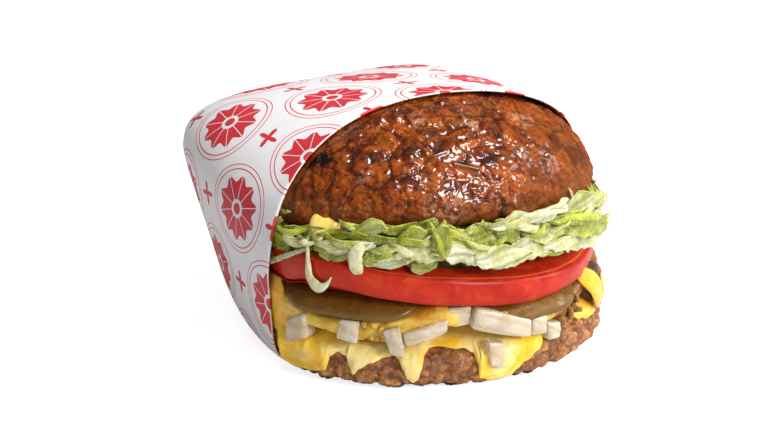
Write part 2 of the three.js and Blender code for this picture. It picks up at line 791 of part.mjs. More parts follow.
const tomatoSolids = {
  tomato_left: cut(toManifold(tomatoBody(tomatoes.tomato_left, 0)), tomatoRooms[1]),
  tomato_right: toManifold(tomatoBody(tomatoes.tomato_right, 0)),
};

const pickleRooms = Object.values(pickles).map((place) => toManifold(pickleBody(place, gap)));
const pickleFits = [...tomatoRooms, ...onionRooms, cheeseRoom, lowerPattyRoom];
const pickleSolids = {
  pickle_left: cut(toManifold(pickleBody(pickles.pickle_left, 0)), ...pickleFits, pickleRooms[1]),
  pickle_right: cut(toManifold(pickleBody(pickles.pickle_right, 0)), ...pickleFits),
};

const relishSolid = cut(
  toManifold(relishBody()),
  cheeseRoom,
  lowerPattyRoom,
  ...onionRooms,
  ...pickleRooms,
  ...tomatoRooms,
);

const tipRoom = toManifold(cheeseTip(gap));
const tipSolid = cut(toManifold(cheeseTip(0)), upperPattyRoom);

const lettuceRooms = [upperPattyRoom, ...tomatoRooms, ...pickleRooms, tipRoom];

function lettuceHeap() {
  let heap = cut(toManifold(lettuceCore()), ...lettuceRooms);
  const leaves = [
    ...rimLeaves.map((leaf, i) => rimLeaf(leaf, i)),
    ...tongueLeaves.map((leaf, i) => tongueLeaf(leaf, i)),
    ...shreds(2).map((leaf, i) => rimLeaf(leaf, i + 30)),
    hangingLoop(),
  ];
  for (const leaf of leaves) {
    heap = heap.add(cut(toManifold(leaf), ...lettuceRooms));
  }
  return heap;
}

// Materials

function food(colour, roughness) {
  return new THREE.MeshStandardMaterial({ color: colour, roughness, metalness: 0 });
}

const materials = {
  beefGlazed: food(0x7a3a18, 0.3),
  beef: food(0x6b4030, 0.6),
  cheese: food(0xf0b428, 0.35),
  onion: food(0xe6dcc4, 0.35),
  relish: food(0xc09a2e, 0.45),
  pickle: food(0x6e5220, 0.3),
  tomato: food(0xcc2d1c, 0.25),
  lettuce: food(0xa8bc50, 0.45),
  paper: food(0xf2f0ee, 0.7),
};

// The burger

function addNode(group, name, solid, material) {
  const mesh = new THREE.Mesh(toGeometry(solid), material);
  mesh.name = name;
  group.add(mesh);
}

const burger = new THREE.Group();
const filling = new THREE.Group();
burger.add(filling);

const wrapper = new THREE.Mesh(paperShell(), materials.paper);
wrapper.name = 'wrapper';
burger.add(wrapper);

addNode(burger, 'patty_bottom', largest(lowerPattySolid.intersect(space)), materials.beef);
addNode(burger, 'patty_top', largest(upperPattySolid.intersect(space)), materials.beefGlazed);
addNode(filling, 'cheese', largest(cheeseSolid.intersect(space)), materials.cheese);
addNode(filling, 'relish', largest(relishSolid.intersect(space)), materials.relish);
for (const [name, solid] of Object.entries(pickleSolids)) {
  addNode(filling, name, largest(solid.intersect(space)), materials.pickle);
}
for (const [name, solid] of Object.entries(tomatoSolids)) {
  addNode(filling, name, largest(solid.intersect(space)), materials.tomato);
}
addNode(filling, 'lettuce', largest(lettuceHeap().intersect(space)), materials.lettuce);
addNode(filling, 'cheese_tip', largest(tipSolid.intersect(space)), materials.cheese);
onionSolids.forEach((solid, i) => {
  addNode(filling, `onion_0${i + 1}`, largest(solid.intersect(space)), materials.onion);
});

export default burger;
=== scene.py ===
import bpy
import itertools
import math
import numpy as np
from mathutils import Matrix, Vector


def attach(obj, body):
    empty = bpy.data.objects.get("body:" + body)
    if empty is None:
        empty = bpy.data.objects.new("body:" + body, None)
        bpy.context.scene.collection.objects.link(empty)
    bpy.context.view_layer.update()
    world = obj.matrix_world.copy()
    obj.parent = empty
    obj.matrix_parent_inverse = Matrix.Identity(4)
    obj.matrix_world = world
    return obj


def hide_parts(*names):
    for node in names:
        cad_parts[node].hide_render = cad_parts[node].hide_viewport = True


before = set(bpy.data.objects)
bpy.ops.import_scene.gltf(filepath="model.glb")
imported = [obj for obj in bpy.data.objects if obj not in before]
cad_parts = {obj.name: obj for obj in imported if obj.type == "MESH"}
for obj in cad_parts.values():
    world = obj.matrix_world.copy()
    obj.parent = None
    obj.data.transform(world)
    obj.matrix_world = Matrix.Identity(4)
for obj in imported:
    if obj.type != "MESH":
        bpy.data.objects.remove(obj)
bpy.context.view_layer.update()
scene = bpy.context.scene
mm = 0.001  # every shape below is worked out in millimetres and made in metres
tau = 2 * math.pi
gap = 0.35  # air between neighbouring pieces


def mix(start, end, share):
    return start + (end - start) * share


def smooth(low, high, x):
    t = np.clip((x - low) / (high - low), 0, 1)
    return t * t * (3 - 2 * t)


def hump(distance, half):  # a cosine bell: 1 in the middle, 0 from `half` outwards
    return 0.5 + 0.5 * np.cos(np.pi * np.minimum(1, np.abs(distance) / half))


def turnBetween(a, b):  # difference of two angles in degrees, from -180 to 180
    return (np.asarray(a) - b + 540) % 360 - 180


def squareRound(angle, squareness):  # point of a superellipse |x|^p + |y|^p = 1 in a direction
    c, s = np.cos(angle), np.sin(angle)
    reach = (np.abs(c) ** squareness + np.abs(s) ** squareness) ** (-1 / squareness)
    return reach * c, reach * s


def dome(latitude, squareness):  # the same as a section: distance from the axis, and height
    across, along = squareRound(latitude, squareness)
    return np.maximum(across, 0), along


def spaced(*stretches):  # values in stretches of (start, end, count), the last one with its end
    parts = [np.linspace(start, end, count, endpoint=False) for start, end, count in stretches[:-1]]
    return np.concatenate([*parts, np.linspace(*stretches[-1])])


def poleToPole(rows):
    return np.linspace(-np.pi / 2, np.pi / 2, rows)[:, None]


def onceRound(sides):
    return np.linspace(0, tau, sides, endpoint=False)[None, :]


def stacked(x, y, z):
    return np.stack(np.broadcast_arrays(x, y, z), axis=-1)


def hashed(x, y, z, seed):  # whole numbers to a random number from 0 to 1
    h = x * 374761393 + y * 668265263 + z * 1440662683 + seed * 974634777
    h = (h ^ (h >> 13)) * 1274126177
    return ((h ^ (h >> 16)) & 0xFFFFFF) / 16777215.0


def lumps(x, y, z, size, seed):
    # soft noise from -1 to 1: random corner values of a grid of `size`, blended by 3t^2 - 2t^3
    spot = np.stack(np.broadcast_arrays(x, y, z)) / size
    cell = np.floor(spot).astype(np.int64)
    t = spot - cell  # place inside the cell, from 0 to 1
    t = t * t * (3 - 2 * t)
    total = 0
    for dx, dy, dz in itertools.product((0, 1), repeat=3):
        share = (t[0] if dx else 1 - t[0]) * (t[1] if dy else 1 - t[1]) * (t[2] if dz else 1 - t[2])
        total = total + share * hashed(cell[0] + dx, cell[1] + dy, cell[2] + dz, seed)
    return 2 * total - 1


def layered(x, y, z, size, seed, layers=3):  # sum of noises, each half the size and strength of the last
    total = 0
    for layer in range(layers):
        total = total + lumps(x, y, z, size / 2**layer, seed + 17 * layer) / 2**layer
    return total


def grains(x, y, z, size, seed):
    # distances to the two nearest of one random point per grid cell: small in the middle of a grain,
    # and alike where two grains meet
    spot = np.stack(np.broadcast_arrays(x, y, z)) / size
    cell = np.floor(spot).astype(np.int64)
    first = np.full(spot.shape[1:], 9.0)
    second = np.full(spot.shape[1:], 9.0)
    for step in itertools.product((-1, 0, 1), repeat=3):
        corner = [cell[i] + step[i] for i in range(3)]
        away = sum((corner[i] + hashed(*corner, seed + i) - spot[i]) ** 2 for i in range(3))
        second = np.minimum(second, np.maximum(first, away))
        first = np.minimum(first, away)
    return np.sqrt(first), np.sqrt(second)


def spline(points, t):
    # Catmull-Rom curve through rows of `points`, t from 0 to 1
    points = np.asarray(points, float)
    at = np.clip(np.asarray(t, float), 0, 1) * (len(points) - 1)
    i = np.minimum(at.astype(int), len(points) - 2)
    w = (at - i)[:, None]
    p0, p1 = points[np.maximum(i - 1, 0)], points[i]
    p2, p3 = points[i + 1], points[np.minimum(i + 2, len(points) - 1)]
    v0, v1 = (p2 - p0) / 2, (p3 - p1) / 2
    return (2 * p1 - 2 * p2 + v0 + v1) * w**3 + (3 * p2 - 3 * p1 - 2 * v0 - v1) * w**2 + v0 * w + p1


def closedBody(grid, uv=None, **values):
    # grid[row, side] is a closed body: the sides run round it, and its first and last rows are points.
    # `values`, one number for the whole body or one for each grid point, are attributes for the materials.
    rows, sides = grid.shape[:2]

    def flat(field):
        field = np.broadcast_to(field, (rows, sides))
        return np.concatenate([field[0, :1], field[1:-1].ravel(), field[-1, :1]])

    index = 1 + np.arange((rows - 2) * sides).reshape(rows - 2, sides)
    after = np.roll(index, -1, axis=1)
    quads = np.stack([index[:-1], after[:-1], after[1:], index[1:]], axis=-1).reshape(-1, 4)
    last = (rows - 2) * sides + 1
    fans = np.concatenate(
        [
            np.stack([np.zeros(sides, int), after[0], index[0]], axis=-1),
            np.stack([np.full(sides, last), index[-1], after[-1]], axis=-1),
        ]
    )
    body = {
        "verts": np.concatenate([grid[:1, 0], grid[1:-1].reshape(-1, 3), grid[-1:, 0]]),
        "quads": quads,
        "fans": fans,
        "values": {name: flat(field) for name, field in values.items()},
        "uv": None,
    }
    if uv is not None:  # uv[row, side] has one more side than the grid, so that the seam stays whole
        a, b, c, d = uv[1:-2, :-1], uv[1:-2, 1:], uv[2:-1, 1:], uv[2:-1, :-1]
        quadUv = np.stack([a, b, c, d], axis=2).reshape(-1, 4, 2)
        middle = (uv[:, :-1] + uv[:, 1:]) / 2
        low = np.stack([middle[0], uv[1, 1:], uv[1, :-1]], axis=1)
        high = np.stack([middle[-1], uv[-2, :-1], uv[-2, 1:]], axis=1)
        body["uv"] = (quadUv, np.concatenate([low, high]))
    corners = body["verts"]
    a, b, c, d = (corners[quads[:, i]] for i in range(4))
    volume = np.einsum("ij,ij->", a, np.cross(b, c)) + np.einsum("ij,ij->", a, np.cross(c, d))
    if volume < 0:  # faces point outwards
        body["quads"] = quads[:, ::-1]
        body["fans"] = fans[:, ::-1]
        if uv is not None:
            body["uv"] = tuple(part[:, ::-1] for part in body["uv"])
    return body


def joined(bodies):  # several bodies as one mesh
    start = np.cumsum([0] + [len(body["verts"]) for body in bodies])
    return {
        "verts": np.concatenate([body["verts"] for body in bodies]),
        "quads": np.concatenate([body["quads"] + at for body, at in zip(bodies, start)]),
        "fans": np.concatenate([body["fans"] + at for body, at in zip(bodies, start)]),
        "values": {k: np.concatenate([body["values"][k] for body in bodies]) for k in bodies[0]["values"]},
        "uv": None,
    }


def addPiece(name, body, material, slot, *nodes):  # nodes: what it replaces in the solids
    verts, quads, fans = body["verts"] * mm, body["quads"], body["fans"]
    loops = np.concatenate([quads.ravel(), fans.ravel()])
    starts = np.concatenate([np.arange(len(quads)) * 4, quads.size + np.arange(len(fans)) * 3])
    mesh = bpy.data.meshes.new(name)
    mesh.vertices.add(len(verts))
    mesh.vertices.foreach_set("co", verts.ravel())
    mesh.loops.add(len(loops))
    mesh.loops.foreach_set("vertex_index", loops.astype(np.int32))
    mesh.polygons.add(len(starts))
    mesh.polygons.foreach_set("loop_start", starts.astype(np.int32))
    mesh.polygons.foreach_set("use_smooth", np.ones(len(starts), bool))
    mesh.update(calc_edges=True)
    for key, field in body["values"].items():
        layer = mesh.attributes.new(key, "FLOAT", "POINT")
        layer.data.foreach_set("value", field.astype(np.float32))
    if body["uv"] is not None:
        layer = mesh.uv_layers.new(name="UVMap")
        corners = np.concatenate([part.ravel() for part in body["uv"]])
        layer.data.foreach_set("uv", corners.astype(np.float32))
    mesh.validate()
    piece = bpy.data.objects.new(name, mesh)
    scene.collection.objects.link(piece)
    mesh.materials.append(material)
    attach(piece, "root")
    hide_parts(*nodes)
    print(f"{name}: {2 * len(quads) + len(fans)} triangles")


def paint(red, green, blue):  # a display colour, 0 to 255, as scene-linear
    shares = [value / 255 for value in (red, green, blue)]
    return (*(share / 12.92 if share <= 0.04 else ((share + 0.055) / 1.055) ** 2.4 for share in shares), 1)


class Nodes:  # short ways to place and wire shader nodes in a tree

    def __init__(self, tree):
        self.tree = tree

    def add(self, kind, inputs=None, **settings):
        node = self.tree.nodes.new("ShaderNode" + kind)
        for name, value in settings.items():
            setattr(node, name, value)
        for name, value in (inputs or {}).items():
            self.put(value, node.inputs[name])
        return node

    def put(self, value, socket):
        if isinstance(value, bpy.types.NodeSocket):
            self.tree.links.new(value, socket)
        else:
            socket.default_value = value

    def value(self, name):  # an attribute of the piece
        return self.add("Attribute", attribute_name=name).outputs["Fac"]

    def math(self, operation, a, b=0.0, c=0.0, clamp=False):
        return self.add("Math", {0: a, 1: b, 2: c}, operation=operation, use_clamp=clamp).outputs[0]

    def span(self, x, low, high, start=0.0, end=1.0):  # x from low..high to start..end
        inputs = {"Value": x, "From Min": low, "From Max": high, "To Min": start, "To Max": end}
        return self.add("MapRange", inputs).outputs["Result"]

    def blend(self, share, a, b):
        node = self.add("Mix", data_type="RGBA", clamp_factor=True)
        for value, at in ((share, 0), (a, 6), (b, 7)):
            self.put(value, node.inputs[at])
        return node.outputs[2]

    def over(self, colour, *layers):  # layers of (share, colour), each laid over the last
        for share, other in layers:
            colour = self.blend(share, colour, other)
        return colour

    def place(self):
        return self.add("TexCoord").outputs["Object"]

    def noise(self, size, detail=3.0, roughness=0.55, distortion=0.0):  # size in mm
        inputs = {"Vector": self.place(), "Scale": self.math("DIVIDE", 1000.0, size), "Detail": detail}
        inputs.update({"Roughness": roughness, "Distortion": distortion})
        return self.add("TexNoise", inputs).outputs["Fac"]

    def shared(self, name, **inputs):  # one of the shared groups, with its own values
        node = self.tree.nodes.new("ShaderNodeGroup")
        node.node_tree = shared[name]
        for key, value in inputs.items():
            self.put(value, node.inputs[key])
        return node.outputs

    def twoTone(self, size, dark, light, spread=0.2, detail=3.0):
        inputs = {"Size": size, "Dark": dark, "Light": light, "Spread": spread, "Detail": detail}
        return self.shared("twoTone", **inputs)["Color"]

    def flecks(self, size, threshold, strength=1.0):
        return self.shared("flecks", Size=size, Threshold=threshold, Strength=strength)["Mask"]

    def bump(self, height, distance, strength=1.0, normal=None):  # distance in mm
        inputs = {"Height": height, "Distance": distance * mm, "Strength": strength}
        if normal:
            inputs["Normal"] = normal
        return self.add("Bump", inputs).outputs["Normal"]


def newMaterial(name, milky, specular, **sockets):
    # milky: how much light goes into it, and how deep in metres for red, green and blue
    material = bpy.data.materials.new(name)
    material.use_nodes = True
    surface = material.node_tree.nodes["Principled BSDF"]
    surface.inputs["Specular IOR Level"].default_value = specular
    for key, value in sockets.items():
        surface.inputs[key.replace("_", " ")].default_value = value
    if milky:
        surface.inputs["Subsurface Weight"].default_value = milky[0]
        surface.inputs["Subsurface Radius"].default_value = milky[1]
    return material, Nodes(material.node_tree), surface


def finish(nodes, surface, **links):
    names = {"colour": "Base Color", "roughness": "Roughness", "coat": "Coat Weight", "normal": "Normal"}
    for key, socket in links.items():
        nodes.put(socket, surface.inputs[names[key]])


def finishMoist(nodes, surface, colour, crumb, film, bump):
    # crumbly relief under patches of wet film. crumb: size and share of cells. film: size, wetness, and
    # roughness where dry and where wet. bump: distance in mm and strength
    height = nodes.shared("crumb", Size=crumb[0], Cells=crumb[1])["Height"]
    size, wetness, dry, wet = film
    roughness = nodes.shared("wetFilm", Size=size, Wetness=wetness, Dry=dry, Wet=wet)["Roughness"]
    finish(nodes, surface, colour=colour, roughness=roughness, normal=nodes.bump(height, *bump))


def newGroup(name, inputs, outputs):
    # an effect that several materials share: gives its tree, its nodes, what it is fed and what it gives
    tree = bpy.data.node_groups.new(name, "ShaderNodeTree")
    for side, sockets in (("INPUT", inputs), ("OUTPUT", outputs)):
        for key, value in sockets.items():
            kind = "NodeSocketColor" if isinstance(value, tuple) else "NodeSocketFloat"
            socket = tree.interface.new_socket(name=key, in_out=side, socket_type=kind)
            if side == "INPUT":
                socket.default_value = value
    fed = tree.nodes.new("NodeGroupInput").outputs
    given = tree.nodes.new("NodeGroupOutput").inputs
    return tree, Nodes(tree), fed, given


def makeTwoTone():
    # one colour that clouds over into another, by noise of a size in mm
    black, white = (0, 0, 0, 1), (1, 1, 1, 1)
    inputs = {"Size": 4.0, "Detail": 3.0, "Spread": 0.2, "Dark": black, "Light": white}
    tree, nodes, fed, given = newGroup("twoTone", inputs, {"Color": black})
    low = nodes.math("SUBTRACT", 0.5, fed["Spread"])
    high = nodes.math("ADD", 0.5, fed["Spread"])
    share = nodes.span(nodes.noise(fed["Size"], fed["Detail"], 0.6), low, high)
    nodes.put(nodes.blend(share, fed["Dark"], fed["Light"]), given["Color"])
    return tree


def makeFlecks():
    # scattered small spots: noise of a size in mm, kept where it is over a threshold
    inputs = {"Size": 1.5, "Threshold": 0.62, "Strength": 1.0}
    tree, nodes, fed, given = newGroup("flecks", inputs, {"Mask": 0.0})
    softEdge = nodes.math("ADD", fed["Threshold"], 0.07)
    mask = nodes.span(nodes.noise(fed["Size"], 2.0, 0.5), fed["Threshold"], softEdge)
    nodes.put(nodes.math("MULTIPLY", mask, fed["Strength"]), given["Mask"])
    return tree


def makeCrumb():
    # height of a crumbly surface: noise with small rounded cells on it
    tree, nodes, fed, given = newGroup("crumb", {"Size": 2.0, "Cells": 0.5}, {"Height": 0.0})
    scale = nodes.math("DIVIDE", 1400.0, fed["Size"])
    cells = nodes.add("TexVoronoi", {"Vector": nodes.place(), "Scale": scale}, feature="SMOOTH_F1")
    rounded = nodes.math("SUBTRACT", 1.0, cells.outputs["Distance"])
    rounded = nodes.math("MULTIPLY", rounded, fed["Cells"])
    nodes.put(nodes.math("ADD", nodes.noise(fed["Size"], 4.0, 0.62), rounded), given["Height"])
    return tree


def makeWetFilm():
    # patches of wet film: roughness falls from dry to wet where noise is under the wetness
    inputs = {"Size": 5.0, "Wetness": 0.5, "Dry": 0.55, "Wet": 0.12}
    tree, nodes, fed, given = newGroup("wetFilm", inputs, {"Roughness": 0.5, "Film": 0.0})
    level = nodes.span(fed["Wetness"], 0.0, 1.0, 0.3, 0.7)
    film = nodes.span(nodes.math("SUBTRACT", level, nodes.noise(fed["Size"])), -0.05, 0.05)
    nodes.put(nodes.span(film, 0.0, 1.0, fed["Dry"], fed["Wet"]), given["Roughness"])
    nodes.put(film, given["Film"])
    return tree


shared = {"twoTone": makeTwoTone(), "flecks": makeFlecks(), "crumb": makeCrumb(), "wetFilm": makeWetFilm()}

view = {  # mm, but clip in metres
    "from": (-346.7, -444.8, 235.6),
    "at": (-7.35, 5.54, 30.4),
    "lens": 96.34,
    "sensor": 36,
    "clip": (0.01, 20),
}
lamps = {  # place and side in mm, power in watts; the last four only make glints
    "top": {"place": (200, -200, 880), "side": 280, "power": 7},
    "front": {"place": (150, -1000, 480), "side": 320, "power": 8.6},
    "right": {"place": (900, -420, 480), "side": 500, "power": 5},
    "leftGlint": {"place": (-900, -500, 620), "side": 80, "power": 0.5},
    "frontGlint": {"place": (-420, -900, 700), "side": 70, "power": 0.45},
    "highGlint": {"place": (260, -520, 820), "side": 70, "power": 0.4},
    "sideGlint": {"place": (700, -800, 260), "side": 80, "power": 0.45},
}
lampsAimAt = (0, 0, 40)
sky = {"light": 0.3, "inGloss": 0.12, "seen": 1.05}
ground = {"halfWidth": 3000, "grey": 0.66, "glow": 0.8}  # the glow is for the camera alone


def aimed(holder, place, target):  # puts an object at a place in mm and turns it to a target
    scene.collection.objects.link(holder)
    holder.location = Vector(place) * mm
    holder.rotation_euler = (Vector(target) * mm - holder.location).to_track_quat("-Z", "Y").to_euler()


def makeCamera():
    data = bpy.data.cameras.new("camera")
    data.sensor_width = view["sensor"]
    data.lens = view["lens"]
    data.clip_start, data.clip_end = view["clip"]
    scene.camera = bpy.data.objects.new("camera", data)
    aimed(scene.camera, view["from"], view["at"])


def makeLights():
    for name, lamp in lamps.items():
        data = bpy.data.lights.new(name, "AREA")
        data.size = lamp["side"] * mm
        data.energy = lamp["power"]
        aimed(bpy.data.objects.new(name, data), lamp["place"], lampsAimAt)
    world = bpy.data.worlds.new("studio")
    scene.world = world
    world.use_nodes = True
    nodes = Nodes(world.node_tree)
    background = world.node_tree.nodes["Background"]
    background.inputs["Color"].default_value = (1, 1, 1, 1)
    ray = nodes.add("LightPath")
    light = nodes.span(ray.outputs["Is Glossy Ray"], 0, 1, sky["light"], sky["inGloss"])
    seen = nodes.math("MULTIPLY", ray.outputs["Is Camera Ray"], sky["seen"])
    nodes.put(nodes.math("MAXIMUM", light, seen), background.inputs["Strength"])


def makeFloor():
    grey = (ground["grey"],) * 3 + (1,)
    material, nodes, surface = newMaterial("floor", None, 0.1, Roughness=0.9, Base_Color=grey)
    surface.inputs["Emission Color"].default_value = (1, 1, 1, 1)
    ray = nodes.add("LightPath")
    glow = nodes.math("MULTIPLY", ray.outputs["Is Camera Ray"], ground["glow"])
    nodes.put(glow, surface.inputs["Emission Strength"])
    half = ground["halfWidth"] * mm
    corners = [(-half, -half, 0), (half, -half, 0), (half, half, 0), (-half, half, 0)]
    mesh = bpy.data.meshes.new("floor")
    mesh.from_pydata(corners, [], [(0, 1, 2, 3)])
    floor = bpy.data.objects.new("floor", mesh)
    scene.collection.objects.link(floor)
    mesh.materials.append(material)


makeCamera()
makeLights()
makeFloor()
scene.view_settings.view_transform = "Standard"
print("camera, lights and floor stand")

paper = {
    "sheet": 0.45,  # thickness that shows at the mouth
    "mouthHalfWidth": 57,
    "mouthHeight": 72.4,
    "mouthWidestAt": 27,
    "mouthRise": 45,  # from there to its top
    "backHalfWidth": 49,
    "backHeight": 61.5,
    "backWidestAt": 38,
    "mouthY": -5,
    "mouthLean": 8,  # how far the top of the mouth stands ahead of its foot
    "mouthSkew": 16,  # how much further ahead its right side stands than its middle
    "backY": 53,
    "backLean": 12,
    "leanHeight": 52,  # where the back has leaned that far
    "closingHeight": 30,
    "floorBlend": 1.2,
    "backSquareness": 5.5,
    "taper": (0.055, 0.3),  # share lost at the foot, at the mouth and at the back
    "taperBelow": 50,
    "repeat": (45, 36),  # width and height of one repeat of the print
    "flatBack": 0.9575,  # from this share of the depth on, the print lies flat on the back
    "backShift": (7, 11),
    "foodInset": 1.15,  # how far the food stays off the outer face
    "foodSlack": 5,  # how far ahead of the mouth it starts to be drawn in
}
rosette = {  # mm; rings: radius and half width
    "petals": 10,
    "radius": 8.4,
    "petal": 0.9,
    "hole": 2.6,
    "dot": 1.7,
    "rings": ((11.2, 0.24), (12.6, 0.2)),
}
star = {"points": 4, "radius": 3.6, "waist": 1.0}
# where the marks stand, in shares of a repeat
printMarks = ((0, 0, "rosette"), (0.5, 0.5, "rosette"), (0.5, 0, "star"), (0, 0.5, "star"))


def paperSection(back, inset):  # half width, top and widest height, from the mouth (0) to the back (1)
    halfWidth = mix(paper["mouthHalfWidth"], paper["backHalfWidth"], back**1.6) - inset
    top = mix(paper["mouthHeight"], paper["backHeight"], back**1.35) - inset
    return halfWidth, top, mix(paper["mouthWidestAt"], paper["backWidestAt"], back**1.2)


def paperSquareness(upper, back):
    return np.where(upper, mix(2.1, 5, back**1.5), mix(9, 7, back))


def paperTaper(height, back):
    low = 1 - np.clip(height / paper["taperBelow"], 0, 1)
    return 1 - mix(*paper["taper"], back**1.5) * low**1.1


def paperMouthY(across, upwards):
    return paper["mouthY"] - (paper["mouthLean"] + paper["mouthSkew"] * across * upwards) * upwards


def paperBackY(z, inset):
    return paper["backY"] + paper["backLean"] * np.clip(z / paper["leanHeight"], 0, 1.04) - inset


def paperPoint(turn, depth, inset):
    # a boxy pouch: superellipse sections of the x-z plane, drawn back along a superellipse in depth
    opened, back = np.clip(squareRound(depth, paper["backSquareness"]), 0, 1)
    direction = turn - math.pi / 2
    upper = np.sin(direction) >= 0
    across, along = squareRound(direction, paperSquareness(upper, back))
    halfWidth, top, widestAt = paperSection(back, inset)
    span = np.where(upper, top - widestAt, widestAt + paper["floorBlend"] - inset)
    height = np.maximum(inset, widestAt + span * along)
    z = paper["closingHeight"] + (height - paper["closingHeight"]) * opened
    y = mix(paperMouthY(across, np.maximum(0, along)), paperBackY(z, inset), back)
    return np.stack([halfWidth * across * paperTaper(height, back) * opened, y, z], axis=-1)


def tucked(points):
    # what lies behind the mouth is drawn towards the axis until it lies inside the paper
    inset, slack = paper["foodInset"], paper["foodSlack"]
    x, y, z = points[..., 0], points[..., 1], points[..., 2]
    power = paper["backSquareness"]
    for _ in range(2):
        upwards = np.clip((z - paper["mouthWidestAt"]) / paper["mouthRise"], 0, 1)
        mouthY = paperMouthY(np.clip(x / paper["mouthHalfWidth"], -1, 1), upwards)
        backY = paperBackY(z, inset)
        back = np.clip((y - mouthY) / (backY - mouthY), 0, 0.999)
        opened = (1 - back**power) ** (1 / power)
        halfWidth, top, widestAt = paperSection(back, inset)
        height = paper["closingHeight"] + (z - paper["closingHeight"]) / opened
        upper = height >= widestAt
        span = np.where(upper, top - widestAt, widestAt - inset + paper["floorBlend"])
        across = np.abs(x) / (halfWidth * paperTaper(height, back) * opened)
        along = np.abs(height - widestAt) / span
        squareness = paperSquareness(upper, back)
        fill = (across**squareness + along**squareness) ** (1 / squareness)
        share = smooth(mouthY - slack, mouthY - 0.5, y)
        pull = mix(1, 1 / np.maximum(fill, 1), share)
        x = x * pull
        z = np.where(y > mouthY - slack, widestAt + (z - widestAt) * pull, z)
        z = np.maximum(z, np.where(share > 0, inset * share, 0))
    return np.stack([x, np.minimum(y, backY - 0.3), z], axis=-1)


def rosetteMask(nodes, away, angle):  # petals with slits between them, a dot in a hole, and two thin rings
    wave = nodes.math("COSINE", nodes.math("MULTIPLY", angle, rosette["petals"]))
    edge = nodes.math("MULTIPLY_ADD", wave, rosette["petal"], rosette["radius"])
    petals = nodes.span(nodes.math("SUBTRACT", edge, away), -0.06, 0.06)
    slit = nodes.math("ABSOLUTE", nodes.math("SINE", nodes.math("MULTIPLY", angle, rosette["petals"] / 2)))
    slit = nodes.span(nodes.math("MULTIPLY", slit, away), 0.5, 0.7)
    hole = nodes.span(away, rosette["hole"], rosette["hole"] + 0.15)
    mask = nodes.math("MULTIPLY", petals, nodes.math("MULTIPLY", slit, hole))
    mask = nodes.math("MAXIMUM", mask, nodes.span(away, rosette["dot"], rosette["dot"] - 0.15))
    for radius, width in rosette["rings"]:
        ring = nodes.math("ABSOLUTE", nodes.math("SUBTRACT", away, radius))
        mask = nodes.math("MAXIMUM", mask, nodes.span(ring, width, width / 2))
    return mask


def starMask(nodes, away, angle):  # the edge goes in and out by |cos|^3
    point = nodes.math("ABSOLUTE", nodes.math("COSINE", nodes.math("MULTIPLY", angle, star["points"] / 2)))
    point = nodes.math("POWER", point, 3)
    edge = nodes.math("MULTIPLY_ADD", point, star["radius"] - star["waist"], star["waist"])
    return nodes.span(nodes.math("SUBTRACT", edge, away), -0.06, 0.06)


def repeated(nodes, part, size, shift):  # distance in mm from the middle of the nearest repeat
    share = nodes.math("ADD", nodes.math("DIVIDE", part, size), shift)
    return nodes.math("MULTIPLY", nodes.math("SUBTRACT", nodes.math("FRACT", share), 0.5), size)


def printMask(nodes):
    # staggered rosettes, with a small star between them
    parts = nodes.add("SeparateXYZ", {"Vector": nodes.add("UVMap").outputs["UV"]}).outputs
    width, height = paper["repeat"]
    maskOf = {"rosette": rosetteMask, "star": starMask}
    mask = 0.0
    for right, up, kind in printMarks:
        u = repeated(nodes, parts[0], width, right)
        v = repeated(nodes, parts[1], height, up)
        away = nodes.math("SQRT", nodes.math("MULTIPLY_ADD", u, u, nodes.math("MULTIPLY", v, v)))
        mask = nodes.math("MAXIMUM", mask, maskOf[kind](nodes, away, nodes.math("ARCTAN2", v, u)))
    return mask


def paperMaterial():
    # white and red that vary with the fibre, over soft creases
    material, nodes, surface = newMaterial("foodPaper", None, 0.5, Roughness=0.5)
    fibre = nodes.noise(9, 5, 0.6)
    white = nodes.blend(fibre, paint(222, 219, 220), paint(234, 231, 232))
    ink = nodes.blend(fibre, paint(196, 38, 52), paint(211, 50, 62))
    normal = nodes.bump(nodes.noise(34, 2, 0.4), 0.9, 0.35)
    normal = nodes.bump(fibre, 0.05, 0.4, normal)
    finish(nodes, surface, colour=nodes.blend(printMask(nodes), white, ink), normal=normal)
    return material


def paperWrapper():
    # outer face from the middle of the back to the mouth, over the rim, and the inner face back again
    rows, sides = 120, 320
    turn = np.linspace(0, tau, sides + 1)[None, :]
    depth = np.linspace(math.pi / 2, 0, rows)[:, None]
    outer = paperPoint(turn, depth, 0.0)
    grid = np.concatenate([outer, paperPoint(turn, depth[::-1], paper["sheet"])])
    # print coordinates: length round each section from the middle of its top, and length back from the mouth
    around = np.cumsum(np.linalg.norm(np.diff(outer, axis=1, prepend=outer[:, :1]), axis=2), axis=1)
    steps = np.linalg.norm(np.diff(outer, axis=0), axis=2)
    backwards = np.concatenate([np.cumsum(steps[::-1], axis=0)[::-1], np.zeros((1, sides + 1))])
    onBack = squareRound(depth, paper["backSquareness"])[1] > paper["flatBack"]
    u = np.where(onBack, outer[..., 0] + paper["backShift"][0], around - around[:, sides // 2, None])
    v = np.where(onBack, outer[..., 2] + paper["backShift"][1], backwards)
    uv = np.stack([u, v], axis=-1)
    return closedBody(grid[:, :-1], np.concatenate([uv, uv[::-1]]))


addPiece("paperWrapper", paperWrapper(), paperMaterial(), "paper", "wrapper")


def frontAngles(front, wrapped):  # radians once round, with finer steps over the open front
    ahead = np.linspace(-202, 22, front, endpoint=False)
    behind = np.linspace(22, 158, wrapped, endpoint=False)
    return np.radians(np.concatenate([ahead, behind]))[None, :]


def polar(at, reach, z):  # degrees round the burger, distance from its axis and height
    at = np.radians(at)
    return stacked(reach * np.cos(at), reach * np.sin(at), z)


